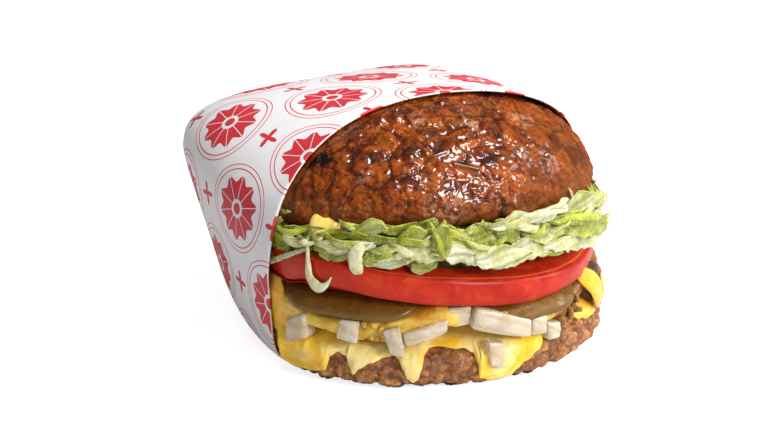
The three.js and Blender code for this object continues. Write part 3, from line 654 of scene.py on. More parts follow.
def meatRelief(points, chunk, grain, seed):
    # minced meat: warped chunks with creases between them, smaller grains on them, and fine noise.
    # Gives the height in mm and how deep in a crease each point is, which the beef colour darkens as painted
    # shade.
    x, y, z = points[..., 0], points[..., 1], points[..., 2]
    bend = 0.25 * chunk * lumps(x, y, z, chunk * 0.6, seed + 40)
    x, y, z = x + bend, y + 0.25 * chunk * lumps(x, y, z, chunk * 0.6, seed + 41), z + 0.8 * bend
    middle, neighbour = grains(x, y, z, chunk, seed)
    chunkTop = smooth(0.02, 0.4, neighbour - middle) * (1.1 - 0.6 * middle)
    middle, neighbour = grains(x, y, z, grain, seed + 5)
    grainTop = smooth(0.0, 0.4, neighbour - middle) * (1.1 - 0.7 * middle)
    fine = layered(x, y, z, grain * 0.5, seed + 9, 2)
    height = 0.13 * chunk * (chunkTop - 0.5) + 0.1 * grain * (grainTop - 0.5) + 0.06 * grain * fine
    return height, 1 - np.clip(0.6 * chunkTop + 0.55 * grainTop, 0, 1)


def lens(across):  # v from -1 to 1 over one face of a thin body and back over the other, and the face's sign
    level = np.linspace(-1, 1, across)
    v = np.concatenate([level, level[-2:0:-1]])[None, :]
    return v, np.concatenate([np.ones(across), -np.ones(across - 2)])[None, :]


def unit(vectors):
    return vectors / np.linalg.norm(vectors, axis=1)[:, None]


def strip(
    path, halfWidth, halfThickness, steps, across, turn=0, cup=0.0, ruffle=0.0, crumple=0.0, seed=0, blunt=0.5
):
    # ribbon along a curve: `path` rows are (degrees, reach, height). Its width lies across the path, and
    # it faces outwards where `turn` is 0. The section is a lens, cupped by 1 - v^2, with waves that grow
    # towards both edges and sharp creases. `halfWidth` and `turn` may list values along the path.
    share = np.linspace(0, 1, steps)
    route = spline(polar(*np.asarray(path, float).T), share)
    tangent = unit(np.gradient(route, axis=0))
    side = unit(np.cross(tangent, unit(route * [1, 1, 0])))
    face = np.cross(side, tangent)

    def along(values):
        values = np.atleast_1d(values).astype(float)
        return values[0] if len(values) == 1 else spline(values[:, None], share)[:, 0]

    tilt = np.broadcast_to(np.radians(along(turn)), share.shape)[:, None]
    side, face = side * np.cos(tilt) + face * np.sin(tilt), face * np.cos(tilt) - side * np.sin(tilt)
    ends = np.sin(np.pi * np.clip(share, 0.004, 0.996)) ** blunt
    width = along(halfWidth) * ends
    v, sign = lens(across)
    length = np.concatenate([[0], np.cumsum(np.linalg.norm(np.diff(route, axis=0), axis=1))])[:, None]
    sway = v * np.mean(width)
    edge = np.sign(v) * 9.0
    torn = 0.16 * lumps(length, edge, 0, 4.0, seed + 3) + 0.1 * lumps(length, edge, 0, 1.3, seed + 6)
    ragged = 1 + torn * np.abs(v) * min(1, crumple * 3)
    phase = seed * 1.7 + 1.4 * v + 1.5 * lumps(length, v, 0, 8, seed + 4)
    wave = np.sin(length * (0.75 + 0.3 * np.sin(seed)) + phase)
    crease = 1 - 2 * np.abs(lumps(length, sway * 1.6, 0, 4.2, seed + 5))
    crease = crease - 0.5 * np.abs(lumps(length, sway * 1.4, 0, 2.2, seed + 8))
    lift = cup * (1 - v**2) + ruffle * wave * (0.25 + 0.75 * np.abs(v) ** 1.5) + crumple * crease
    thick = halfThickness * np.sqrt(np.clip(1 - v**4, 0, 1)) * sign * ends[:, None]
    sideways = side[:, None, :] * (width[:, None] * v * ragged)[..., None]
    grid = route[:, None, :] + sideways + face[:, None, :] * (lift + thick)[..., None]
    grid[0], grid[-1] = grid[0].mean(axis=0), grid[-1].mean(axis=0)
    return grid, v, length


lowerPatty = {
    "radius": 55,
    "height": 15.2,
    "squareness": 3.2,
    "foot": 7,  # squareness of the lower half
    "rimLift": 2.4,
    "rimLiftAt": -40,
    # crust at the right: half widths and path of (degrees, reach, height)
    "crust": ([3.6, 4.2, 4.2, 3.2], [(-49, 53.4, 10), (-52, 54, 15.5), (-56, 53, 20), (-62, 50, 24)]),
}
cheese = {
    "thickness": 1.1,
    # where the melted edge hangs: (degrees, height over the floor)
    "hem": [
        (-180, 3.0), (-170, 3.6), (-165, 3.4), (-158, 4.0), (-155, 4.6), (-153.4, 9.0), (-151, 10.4),
        (-148.2, 9.6), (-147.2, 6.6), (-146, 4.8), (-144, 6.6), (-140.5, 8.8), (-136.2, 10.7),
        (-134.2, 11.2), (-132.8, 10.2), (-131.4, 7.4), (-130.2, 4.8), (-128.6, 3.8), (-127.2, 4.6),
        (-126.2, 7.4), (-125.2, 11.4), (-123.5, 12.3), (-118.5, 12.5), (-113.6, 12.2), (-110.9, 11),
        (-109.6, 8), (-109, 3.4), (-104, 1.9), (-99.4, 2.7), (-97, 4.6), (-94.3, 6.4), (-89.5, 8.2),
        (-87, 11), (-84, 13.4), (-78, 13.9), (-73, 13.5), (-70.6, 12.6), (-68.4, 11), (-64, 9.6),
        (-58, 10), (-52, 12), (-44, 8), (-36, 5), (-28, 7), (-20, 12), (-8, 9), (6, 13), (30, 9),
        (70, 12), (110, 10), (150, 12), (172, 9),
    ],
    # patches of colour: kind, degrees, height, half-sizes in degrees and mm, slant in degrees a mm, strength
    "tones": [
        ("orange", -178, 17, 6, 5, 0, 0.7), ("orange", -156.6, 7, 2.2, 3.4, 0.2, 0.6),
        ("orange", -66, 8, 5, 4, 0, 0.6), ("orange", -56, 12, 6, 4, 0, 0.5),
        ("pale", -163, 7.6, 4, 2.4, 0, 0.75), ("pale", -168, 16, 3, 2.5, 0, 0.5),
        ("pale", -145, 9, 9, 5.5, -0.6, 0.95), ("pale", -139, 11.4, 7, 2.4, 0, 0.85),
        ("pale", -128.5, 7, 3.4, 7, 0, 0.95), ("pale", -122, 13.6, 10, 2.0, 0.2, 0.9),
        ("pale", -112, 13.2, 7, 3.0, 0, 0.9), ("pale", -103, 10, 5.4, 8, 0, 0.95),
        ("pale", -101, 3.6, 6, 3, 0, 0.6), ("bright", -168, 10, 6, 7, 0, 0.6),
        ("bright", -161, 6, 5, 4, 0, 0.4), ("bright", -118, 13.0, 4.4, 1.1, 0.6, 0.95),
        ("bright", -94.5, 9.5, 2.6, 7, 0.75, 1.0), ("bright", -98, 5, 2.2, 3, 1.2, 0.7),
        ("bright", -151, 12.6, 3, 1.6, 0, 0.5), ("bright", -136, 14.6, 4, 1.6, 0, 0.6),
    ],
    # folds that stand up beside the pickles: half widths, half thickness, how orange, bright and pale they
    # are, and path of (degrees, reach, height)
    "folds": [
        ([5.4, 5.6, 5.2, 4.6], 0.8, 0.5, 0.2, 0.0, [
            (-171, 53, 13), (-173.5, 54, 18), (-176, 53.2, 23), (-178, 51, 27),
        ]),
        ([2.8, 3.4, 3.4, 3.0], 0.6, 0.5, 0.4, 0.0, [
            (-55.4, 54.8, 11), (-58, 55.2, 15.5), (-61.5, 54.4, 20), (-66, 51.6, 24),
        ]),
        ([1.2, 1.8, 1.3], 0.5, 0.0, 0.0, 0.9, [
            (-50.6, 54.6, 10), (-50.4, 55.2, 15), (-52.4, 54.6, 19.5),
        ]),
    ],
    # corner that shows under the upper patty: half widths and path
    "tip": ([5, 5.2, 4.4, 2.6], [
        (-156, 43.5, 46.6), (-156.4, 49, 46), (-156.8, 52.2, 43.6), (-157.4, 53.2, 40.2),
    ]),
}


def onPeriod(table, turn):  # smooth values between the rows of a table of (degrees, value)
    at, value = np.array(table, float).T
    at = np.concatenate([at - 360, at, at + 360])
    value = np.tile(value, 3)
    x = turnBetween(turn, 0)
    i = np.clip(np.searchsorted(at, x, side="right") - 1, 0, len(at) - 2)
    share = (x - at[i]) / (at[i + 1] - at[i])
    return mix(value[i], value[i + 1], share * share * (3 - 2 * share))


def lowerPattyPoint(latitude, angle, grow=0.0):
    # thick disc with a superellipse side, lobes and lumps, whose front sags off the paper to the floor
    squareness = np.where(latitude < 0, lowerPatty["foot"], lowerPatty["squareness"])
    across, along = dome(latitude, squareness)
    radius, half = lowerPatty["radius"], lowerPatty["height"] / 2
    x, y = np.cos(angle), np.sin(angle)
    spot = radius * across
    uneven = lumps(x * spot, y * spot, along * 8, 7, 2)
    reach = (radius + 1.3 * lumps(x, y, 0, 0.8, 1) + 0.9 * uneven + grow) * across
    bottom = mix(0.05, 1.15, smooth(-15, -8, y * reach))
    lift = lowerPatty["rimLift"] * hump(turnBetween(np.degrees(angle), lowerPatty["rimLiftAt"]), 75)
    edge = np.minimum(1, reach / radius) ** 3
    tall = half + np.maximum(0, along) * (lift * edge + 0.5 * uneven) + grow
    return np.stack([x * reach, y * reach, bottom + half + tall * along], axis=-1)


def lowerPattyOut(latitude, angle):  # outward direction on that disc, from the superellipse's slope
    squareness = np.where(latitude < 0, lowerPatty["foot"], lowerPatty["squareness"])
    across, along = dome(latitude, squareness)
    r = across ** (squareness - 1) / lowerPatty["radius"]
    z = np.sign(along) * np.abs(along) ** (squareness - 1) / (lowerPatty["height"] / 2)
    size = np.sqrt(r * r + z * z)
    return stacked(r / size * np.cos(angle), r / size * np.sin(angle), z / size)


def pattyBottom():
    angle = frontAngles(520, 40)
    latitude = np.radians(spaced((-90, -58, 10), (-58, 62, 116), (62, 90, 12)))[:, None]
    points = lowerPattyPoint(latitude, angle)
    height, pit = meatRelief(points, 6.5, 2.3, 60)
    covered = smooth(-1.2, 0.6, points[..., 2] - onPeriod(cheese["hem"], np.degrees(angle)))
    side = smooth(-1.5, -0.9, latitude) * (1 - covered) * smooth(0.0, 1.2, points[..., 2])
    out = (1.25 * height + 0.15) * side - 0.35 * covered
    points = points + lowerPattyOut(latitude, angle) * out[..., None]
    points[..., 2] = np.maximum(points[..., 2], 0.05)
    sear = smooth(2.4, 1.2, points[..., 2] + 0.9 * lumps(points[..., 0], points[..., 1], 0, 3, 66))
    return closedBody(tucked(points), pit=pit, sear=sear)


def beefMaterial():
    # pinkish brown mince with darker clouds, fat flecks, painted shade in the creases and a charred foot
    material, nodes, surface = newMaterial("searedBeef", (0.05, (0.0015, 0.0006, 0.0004)), 0.35)
    colour = nodes.over(
        nodes.twoTone(3.4, paint(136, 80, 38), paint(200, 140, 82)),
        (nodes.flecks(7, 0.5, 0.6), paint(134, 72, 30)),
        (nodes.flecks(1.3, 0.6, 0.65), paint(206, 158, 112)),
        (nodes.flecks(1.9, 0.63, 0.6), paint(96, 40, 26)),
        # painted shade: the deeper a crease, the darker brown
        (nodes.span(nodes.value("pit"), 0.35, 0.95, 0.0, 0.7), paint(78, 40, 24)),
        (nodes.value("sear"), paint(40, 24, 18)),
    )
    finishMoist(nodes, surface, colour, crumb=(1.3, 0.6), film=(4, 0.35, 0.6, 0.2), bump=(0.35, 0.8))
    return material


def crustRim():
    # dry dark edge of the patty that stands up beside the cheese at the right
    halfWidth, path = lowerPatty["crust"]
    shape = {"cup": 0.3, "ruffle": 0.2, "crumple": 0.1, "seed": 61, "blunt": 0.3}
    grid, v, length = strip(path, halfWidth, 0.9, steps=60, across=21, **shape)
    grain = 0.5 * layered(length, v * 4, 0, 2.5, 67)
    # on the crust the crease value is plain noise: darker patches at random
    return closedBody(tucked(grid), pit=np.clip(0.5 + grain, 0, 1), sear=np.clip(0.55 + grain, 0, 1))


addPiece("pattyBottom", joined([pattyBottom(), crustRim()]), beefMaterial(), "beef", "patty_bottom")


def tonesAt(kind, turn, z):  # how strongly the soft patches of one kind cover a point, 0 to 1
    total = 0
    for name, at, height, halfTurn, halfHeight, slant, strength in cheese["tones"]:
        if name == kind:
            u = turnBetween(turn, at + slant * (z - height))
            away = np.hypot(u / halfTurn, (z - height) / halfHeight)
            total = np.maximum(total, strength * smooth(1.25, 0.55, away))
    return total


def cheeseSheet():
    # the patty's own surface grown outwards, from the middle of its top down to the hanging edge, round
    # the edge's bead, and back inside the patty
    angle = frontAngles(620, 40)
    turn = np.degrees(angle)
    half = lowerPatty["height"] / 2
    hem = onPeriod(cheese["hem"], turn) + 0.35 * lumps(np.cos(angle), np.sin(angle), 0, 0.05, 71)
    rise = np.clip((hem - half) / half, -0.93, 0.93)
    power = np.where(rise < 0, lowerPatty["foot"], lowerPatty["squareness"])
    hemLatitude = np.arctan2(rise, (1 - np.abs(rise) ** power) ** (1 / power))
    share = np.linspace(0, 1, 104)[:, None] ** 0.8
    bead = np.linspace(0, 1, 7)[1:, None]
    latitude = np.concatenate([mix(np.pi / 2, hemLatitude, share), hemLatitude - 0.05 * np.sin(np.pi * bead)])
    fall = np.concatenate([np.ones_like(share), np.cos(bead * np.pi / 2)])
    thinning = np.concatenate([share, np.ones_like(bead)]) ** 6
    arc, tall = turn * 0.97, latitude * 9
    puddle = 0.4 * lumps(arc, tall, 0, 4.4, 72) + 0.26 * lumps(arc * 1.3, tall, 0, 1.9, 73)
    puddle = puddle + 0.1 * lumps(arc, tall, 0, 0.9, 74)
    flow = smooth(1.1, 0.2, latitude)
    thick = cheese["thickness"] * (1 - 0.8 * thinning) + flow * puddle * (1 - 0.6 * thinning)
    points = lowerPattyPoint(latitude, angle, mix(-1.4, 0.3 + np.maximum(thick, 0.2), fall))
    centre = np.array([0, 0, half])
    inwards = np.array([0.6, 0.2, 0.0])[:, None, None]
    points = np.concatenate([points, centre + (points[-1] - centre) * inwards])
    points[..., 2] = np.maximum(points[..., 2], 0.25)
    z = points[..., 2]
    stretch = 0.4 * lumps(arc, z * 1.3, 0, 5, 75) + 0.3 * lumps(arc, z * 1.3, 0, 2, 76)
    tones = {}
    for kind in ("pale", "bright", "orange"):
        tones[kind] = np.clip(tonesAt(kind, turn + 4 * stretch, z) * (1 + 0.3 * stretch), 0, 1)
    return closedBody(tucked(points), **tones)


def cheeseFold(seed, halfWidth, halfThickness, orange, bright, pale, path):
    # tongue of cheese that stands up from the sheet between the pickles and the rim
    shape = {"cup": 0.3, "ruffle": 0.1, "crumple": 0.04, "seed": seed, "blunt": 0.25}
    grid, v, length = strip(path, halfWidth, halfThickness, steps=60, across=21, **shape)
    streak = 0.35 * lumps(length, v * 3, 0, 3, seed)
    pale, orange = (np.clip(tone + streak, 0, 1) for tone in (pale, orange))
    return closedBody(tucked(grid), pale=pale, bright=bright, orange=orange)


def cheeseMaterial():
    # yellow that clouds into amber, with cream, bright yellow and orange patches, wet here and there
    material, nodes, surface = newMaterial("meltedCheese", (0.12, (0.003, 0.002, 0.0006)), 0.4)
    colour = nodes.over(
        nodes.twoTone(4, paint(242, 186, 50), paint(254, 220, 84)),
        (nodes.value("orange"), nodes.twoTone(3, paint(196, 116, 34), paint(236, 158, 50))),
        (nodes.value("pale"), nodes.twoTone(2.4, paint(236, 206, 120), paint(250, 230, 160))),
        (nodes.value("bright"), paint(240, 188, 26)),
    )
    finishMoist(nodes, surface, colour, crumb=(3, 0.0), film=(7, 0.55, 0.42, 0.14), bump=(0.5, 0.7))
    return material


cheeseFinish = cheeseMaterial()
cheeseFolds = [cheeseFold(160 + i, *fold) for i, fold in enumerate(cheese["folds"])]
addPiece("cheeseSheet", joined([cheeseSheet(), *cheeseFolds]), cheeseFinish, "cheese", "cheese")

tomatoSlice = {"thickness": 8.0, "squareness": 12, "droopFrom": 0.74, "skinFrom": 0.974}
tomatoes = {
    # hang: how far the rim hangs (degrees round the slice, mm). thin: how much of its thickness it loses
    "left": {
        "x": -13, "y": -3, "z": 30.2, "halfX": 40, "halfY": 40, "slope": 0.03, "slopeAt": 0,
        "hang": [(0, 0)],
        "thin": [(0, 0)],
        # the left slice's darker colours are partly a deeper red and partly painted shade, where the right
        # slice and the lettuce shade it
        "skin": (160, 30, 20), "deep": (118, 12, 12),
    },
    "right": {
        "x": -3.2, "y": -8, "z": 31.2, "halfX": 50.4, "halfY": 46.6, "slope": 0.09, "slopeAt": -55,
        "hang": [
            (-178, 2.4), (-166, -0.5), (-153, -1.2), (-137, -0.7), (-121, 0.1), (-106, 0.7), (-90, 0.9),
            (-71, 1.7), (-54, 2.5), (150, 2.4),
        ],
        "thin": [(-100, 0), (-62, 0.3), (-20, 0.4), (60, 0), (150, 0)],
        "skin": (196, 50, 22), "deep": (164, 20, 14),
    },
}


def tomatoDrop(place, x, y):  # how far a slice has sunk by its slope
    fall = math.radians(place["slopeAt"])
    return place["slope"] * ((x - place["x"]) * math.cos(fall) + (y - place["y"]) * math.sin(fall))


def tomatoRim(share):  # 0 where a slice lies flat, rising to 1 at its rim
    start = tomatoSlice["droopFrom"]
    return np.clip((share - start) / (1 - start), 0, 1) ** 1.5


def tomatoPiece(side):
    # squat superellipse disc with soft lobes, tipped by its slope. The left slice is pressed flat where
    # the right one lies on it.
    place = tomatoes[side]
    half = tomatoSlice["thickness"] / 2
    angle = frontAngles(280, 40)
    latitude = np.radians(spaced((-90, -70, 8), (-70, 70, 55), (70, 90, 14)))[:, None]
    across, along = dome(latitude, tomatoSlice["squareness"])
    lobes = 0.5 * np.cos(5 * angle + 1) + 0.3 * np.cos(3 * angle)
    belly = 0.7 * (1 - along**2) - 0.35
    x = place["x"] + (place["halfX"] + lobes + belly) * across * np.cos(angle)
    y = place["y"] + (place["halfY"] + lobes + belly) * across * np.sin(angle)
    own = np.degrees(angle)
    flesh = 0.25 * layered(x, y, 0, 6, 80) * smooth(0.9, 1, np.abs(along))
    wave = 0.5 * lumps(np.cos(angle), np.sin(angle), 0, 0.35, 81)
    rim = tomatoRim(across)
    tall = (half + flesh + 0.9 * rim * (along > 0)) * (1 - onPeriod(place["thin"], own) * rim)
    hang = rim * onPeriod(place["hang"], own)
    z = place["z"] - tomatoDrop(place, x, y) + tall * along + wave * across - hang
    if side == "left":
        other = tomatoes["right"]
        u, v = (x - other["x"]) / other["halfX"], (y - other["y"]) / other["halfY"]
        away = np.hypot(u, v)
        hang = tomatoRim(away) * onPeriod(other["hang"], np.degrees(np.arctan2(v, u)))
        under = other["z"] - tomatoDrop(other, x, y) - half - gap - hang
        z = mix(z, np.minimum(z, under + 0.3 - 0.4 * (1 - along)), smooth(1.05, 0.99, away))
    return closedBody(tucked(stacked(x, y, z)), along=along, rim=across)


def tomatoMaterial(name, place):
    # skin with soft streaks and painted shade that darkens its lower half towards the foot, a painted
    # highlight line at its upper edge, and cut flesh
    skinFrom = tomatoSlice["skinFrom"]
    material, nodes, surface = newMaterial(name, None, 0.22, Roughness=0.3)
    deep = paint(*place["deep"])
    along, rim = nodes.value("along"), nodes.value("rim")
    skin = nodes.over(
        nodes.twoTone(7, deep, paint(*place["skin"]), 0.2, 5),
        (nodes.flecks(6, 0.56, 0.3), paint(212, 80, 26)),
        # painted shade: the lower half of the skin darker
        (nodes.span(along, 0.1, -0.95, 0, 0.5), deep),
    )
    # painted highlight: a light line along the skin's upper edge
    edge = nodes.span(nodes.math("ABSOLUTE", nodes.math("SUBTRACT", rim, skinFrom)), 0.007, 0.003)
    edge = nodes.math("MULTIPLY", edge, nodes.span(along, 0.4, 0.6, 0, 0.6))
    flesh = nodes.twoTone(4, paint(176, 22, 14), paint(202, 56, 24))
    colour = nodes.over(
        skin,
        (nodes.span(rim, skinFrom, skinFrom - 0.006), flesh),
        # the painted highlight line
        (edge, paint(236, 120, 64)),
        (nodes.flecks(1.1, 0.68, 0.3), paint(236, 118, 60)),
    )
    height = nodes.shared("crumb", Size=2.2, Cells=0.0)["Height"]
    finish(nodes, surface, colour=colour, normal=nodes.bump(height, 0.25, 0.6))
    return material


for side in tomatoes:
    name = "tomato" + side.capitalize()
    addPiece(name, tomatoPiece(side), tomatoMaterial(name, tomatoes[side]), "tomato", "tomato_" + side)


pickle = {"halfLength": 19.4, "halfDepth": 14.6, "squareness": 3.4, "thickness": 4.2, "bendStart": 45}
pickles = {  # at: degrees round the burger. distance: of its middle from the axis
    "left": {"at": -149, "distance": 42, "z": 28, "droop": 3.6},
    "right": {"at": -93, "distance": 42, "z": 26.2, "droop": 4.6},
}


def pickleSlice(side):
    # oval slice across the radius, a superellipse with a wavy rim, whose outer part droops by a power of
    # the distance past the bend
    place = pickles[side]
    centre = math.radians(place["at"])
    angle = onceRound(300)
    across, along = dome(poleToPole(70), pickle["squareness"])
    wavy = 1 + 0.01 * np.cos(11 * angle) + 0.02 * lumps(np.cos(angle), np.sin(angle), 0, 0.3, 90)
    deep, wide = squareRound(angle, pickle["squareness"])
    outward = place["distance"] + pickle["halfDepth"] * deep * wavy * across
    wide = pickle["halfLength"] * wide * wavy * across
    x = outward * math.cos(centre) - wide * math.sin(centre)
    y = outward * math.sin(centre) + wide * math.cos(centre)
    droop = place["droop"] * np.clip((np.hypot(x, y) - pickle["bendStart"]) / 12, 0, 1.3) ** 1.5
    ripple = 0.35 * lumps(x, y, 0, 6, 91) + 0.12 * lumps(x, y, along * 3, 2, 92) * across
    z = place["z"] + pickle["thickness"] / 2 * (along - 1) - droop + ripple
    return closedBody(tucked(stacked(x, y, z)), skin=smooth(0.9, 0.2, np.abs(along)))


def pickleMaterial():
    # brown-olive flesh with paler flecks, and a darker skin round the side
    material, nodes, surface = newMaterial("pickle", (0.06, (0.002, 0.0015, 0.0005)), 0.35)
    colour = nodes.over(
        nodes.twoTone(6, paint(86, 54, 12), paint(124, 82, 24), 0.2, 4),
        (nodes.flecks(1.6, 0.6, 0.4), paint(146, 102, 38)),
        (nodes.math("MULTIPLY", nodes.value("skin"), 0.5), paint(112, 84, 26)),
    )
    finishMoist(nodes, surface, colour, crumb=(2.6, 0.2), film=(5, 0.4, 0.45, 0.13), bump=(0.35, 0.7))
    return material


pickleFinish = pickleMaterial()
for side in pickles:
    addPiece("pickle" + side.capitalize(), pickleSlice(side), pickleFinish, "pickle", "pickle_" + side)


upperPatty = {
    "radius": 51,
    # half section from the middle of its underside to the middle of its top: (distance from the axis, height)
    "profile": [
        (0, 47.5), (30, 46.5), (43, 45), (48.5, 45.6), (51, 49), (49.6, 53.2), (44.5, 58), (36, 63.6),
        (25, 68.3), (12, 70.9), (0, 71.4),
    ],
    # how far the rim hangs: (degrees, mm)
    "rim": [
        (-180, -3.5), (-160, -3.4), (-146, -1.6), (-132, -0.4), (-112, -0.6), (-92, -2.2), (-70, -3.4),
        (-40, -3), (30, -1.5), (120, -1),
    ],
    # char: place in mm, half-size along and across its direction in mm, direction in degrees, strength
    "char": [
        (-40.5, -8.5, 5.0, 2.6, -60, 1.0), (-20, -30.5, 9, 2.2, -35, 0.7), (-7, -39.6, 7, 2.2, -10, 0.8),
        (-12, -27.5, 8, 1.8, -30, 0.6), (1, -36, 5, 1.6, 60, 0.6), (-32, -22, 4, 2.0, -40, 0.7),
        (-30, -34, 3, 1.8, -40, 0.6), (-9.5, -49, 2.6, 2.0, 0, 0.8), (9, -34, 7, 1.6, -70, 0.4),
        (-3, -20, 8, 1.6, -80, 0.4),
    ],
    # grey-white fat that shows: the same numbers
    "fat": [
        (-1.6, -26, 5, 2.2, 80, 0.8), (-15, -20, 4, 2.2, 60, 0.6), (16, -28, 6, 3.4, 20, 0.6),
        (-36, -24, 3, 2, 0, 0.35), (-24, -44, 8, 3, -20, 0.35),
    ],
    # wet film: the same numbers
    "wet": [
        (-36, -24, 14, 9, -50, 0.9), (-19, -38, 16, 9, -30, 1.0), (-4, -38, 12, 9, 0, 0.9),
        (8, -38, 9, 9, 0, 0.8), (-28, -6, 16, 12, 0, 0.45), (0, -18, 26, 12, 0, 0.55),
    ],
    # smooth ridges of glaze: two ends in mm, height and half-width in mm
    "ridges": [
        (-16.1, -37.6, -11, -41.6, 0.45, 1.3), (-22, -32.4, -15.6, -33.6, 0.3, 1.0),
        (-2, -38.6, 2.4, -38.4, 0.35, 1.1), (9.6, -41.5, 12.4, -42.2, 0.4, 1.2),
        (8.6, -38.6, 10.6, -38.2, 0.35, 1.0), (-26, -30, -23, -31.5, 0.3, 0.9),
    ],
}


def patches(rows, x, y, ragged):  # how strongly a list of slanted ellipses covers each point
    total = np.zeros(np.shape(x + ragged))
    for cx, cy, half, wide, turn, strength in rows:
        c, s = math.cos(math.radians(turn)), math.sin(math.radians(turn))
        u, v = (x - cx) * c + (y - cy) * s, (y - cy) * c - (x - cx) * s
        away = np.hypot(u / half, v / wide) + ragged
        total = np.maximum(total, strength * smooth(1.25, 0.5, away))
    return total


def pattyTop():
    # dome turned from a profile, tipped at the rim, with the granular relief of grilled minced meat
    angle = frontAngles(480, 30)
    row = spaced((0, 0.3, 12), (0.3, 0.92, 172), (0.92, 1, 10))
    profile = np.array(upperPatty["profile"], float)
    at = spline(profile, row)
    ahead = unit(spline(profile, np.clip(row + 1e-3, 0, 1)) - spline(profile, np.clip(row - 1e-3, 0, 1)))
    r, z = at[:, :1], at[:, 1:]
    outR, outZ = ahead[:, 1:], -ahead[:, :1]
    x, y = np.cos(angle), np.sin(angle)
    edge = np.minimum(1, r / upperPatty["radius"])
    place = (x * r, y * r, z + 0 * x)
    uneven = lumps(*place, 9, 13) + 0.5 * lumps(*place, 4, 14)
    # valleys run where a bent noise crosses zero; four noises, each finer, make the soft relief
    bend = 1.2 * lumps(*place, 5, 101)
    seam = np.abs(lumps(place[0] + bend, place[1] - bend, place[2] + bend, 7, 102))
    crack = np.abs(lumps(place[0] - bend, place[1] + bend, place[2], 3.4, 103))
    valley = smooth(0.16, 0.0, seam) + 0.5 * smooth(0.14, 0.0, crack)
    grainSizes = ((0.5, 6.5, 104), (0.36, 3.1, 105), (0.3, 1.7, 106), (0.13, 0.9, 107))
    soft = sum(share * lumps(*place, size, seed) for share, size, seed in grainSizes)
    relief = soft - 0.34 * valley
    ragged = 0.3 * layered(*place, 4, 107)
    flank = smooth(24, 34, place[0] * 0.8 - place[1] * 0.6)
    marks = {name: patches(upperPatty[name], place[0], place[1], ragged) for name in ("char", "fat", "wet")}
    glaze = 0 * relief
    for x0, y0, x1, y1, tall, half in upperPatty["ridges"]:
        alongX, alongY = x1 - x0, y1 - y0
        share = ((place[0] - x0) * alongX + (place[1] - y0) * alongY) / (alongX**2 + alongY**2)
        share = np.clip(share, 0, 1)
        away = np.hypot(place[0] - mix(x0, x1, share), place[1] - mix(y0, y1, share))
        ridge = hump(away, 1.7 * half)
        relief = mix(relief, tall * hump(away, half), ridge)
        glaze = np.maximum(glaze, ridge)
    wet = np.clip(0.42 + 0.8 * marks.pop("wet") - 0.15 * flank, 0, 1) * smooth(48.5, 52.5, z)
    out = 0.7 * uneven * edge + relief * smooth(0.25, 0.42, row)[:, None]
    reach = np.maximum(0, r + outR * out + edge * 1.1 * lumps(x, y, 0, 0.5, 15))
    tilt = onPeriod(upperPatty["rim"], np.degrees(angle)) + 0.9 * lumps(x, y, 0, 0.3, 16)
    height = z + outZ * out + edge * np.clip((61 - z) / 12, 0, 1) * tilt
    rim = smooth(53.5, 49, height + 1.5 * lumps(*place, 5, 108))
    marks.update({"wet": np.maximum(wet, glaze), "glaze": glaze, "rim": rim, "flank": flank})
    # painted shade: the valleys, kept to darken the colour
    marks["pit"] = np.clip(0.8 * valley - 0.4 * soft, 0, 1)
    return closedBody(tucked(np.stack([x * reach, y * reach, height], axis=-1)), **marks)


def glazedMaterial():
    # red-brown mince under a patchy glaze: amber clouds, painted shade in the creases, a dry rim, grey fat
    # and char
    material, nodes, surface = newMaterial("glazedBeef", None, 0.1, Coat_Roughness=0.08, Coat_IOR=1.6)
    wet = nodes.value("wet")
    dryRim = nodes.twoTone(1.8, paint(72, 34, 10), paint(146, 82, 38))
    dryFlank = nodes.twoTone(2.2, paint(66, 28, 8), paint(140, 78, 30))
    colour = nodes.over(
        nodes.twoTone(7, paint(86, 24, 2), paint(158, 72, 10), 0.15, 6),
        (nodes.flecks(3.2, 0.54, 0.5), paint(172, 90, 20)),
        (nodes.flecks(2.2, 0.53, 0.75), paint(58, 14, 4)),
        (nodes.flecks(1.1, 0.6, 0.5), paint(186, 104, 40)),
        (nodes.flecks(4.5, 0.6, 0.5), paint(112, 76, 18)),
        # painted shade in the valleys of the relief
        (nodes.span(nodes.value("pit"), 0.1, 0.9, 0, 0.85), paint(46, 14, 4)),
        (nodes.math("MULTIPLY", nodes.value("rim"), 0.55), dryRim),
        (nodes.math("MULTIPLY", nodes.value("flank"), 0.3), dryFlank),
        (nodes.math("MULTIPLY", nodes.value("fat"), nodes.flecks(1.6, 0.47, 0.7)), paint(192, 150, 120)),
        (nodes.math("MULTIPLY", nodes.value("char"), nodes.flecks(2.6, 0.38)), paint(26, 10, 5)),
    )
    height = nodes.shared("crumb", Size=1.6, Cells=0.35)["Height"]
    height = nodes.math("MULTIPLY", height, nodes.span(nodes.value("glaze"), 0, 1, 1, 0.1))
    film = nodes.shared("wetFilm", Size=2.2, Wetness=wet, Dry=0.6, Wet=0.3)
    coat = nodes.math("MULTIPLY", film["Film"], nodes.span(wet, 0.1, 0.8, 0, 0.55))
    normal = nodes.bump(height, 0.45)
    finish(nodes, surface, colour=colour, roughness=film["Roughness"], coat=coat, normal=normal)
    return material


addPiece("pattyTop", pattyTop(), glazedMaterial(), "beef_glazed", "patty_top")

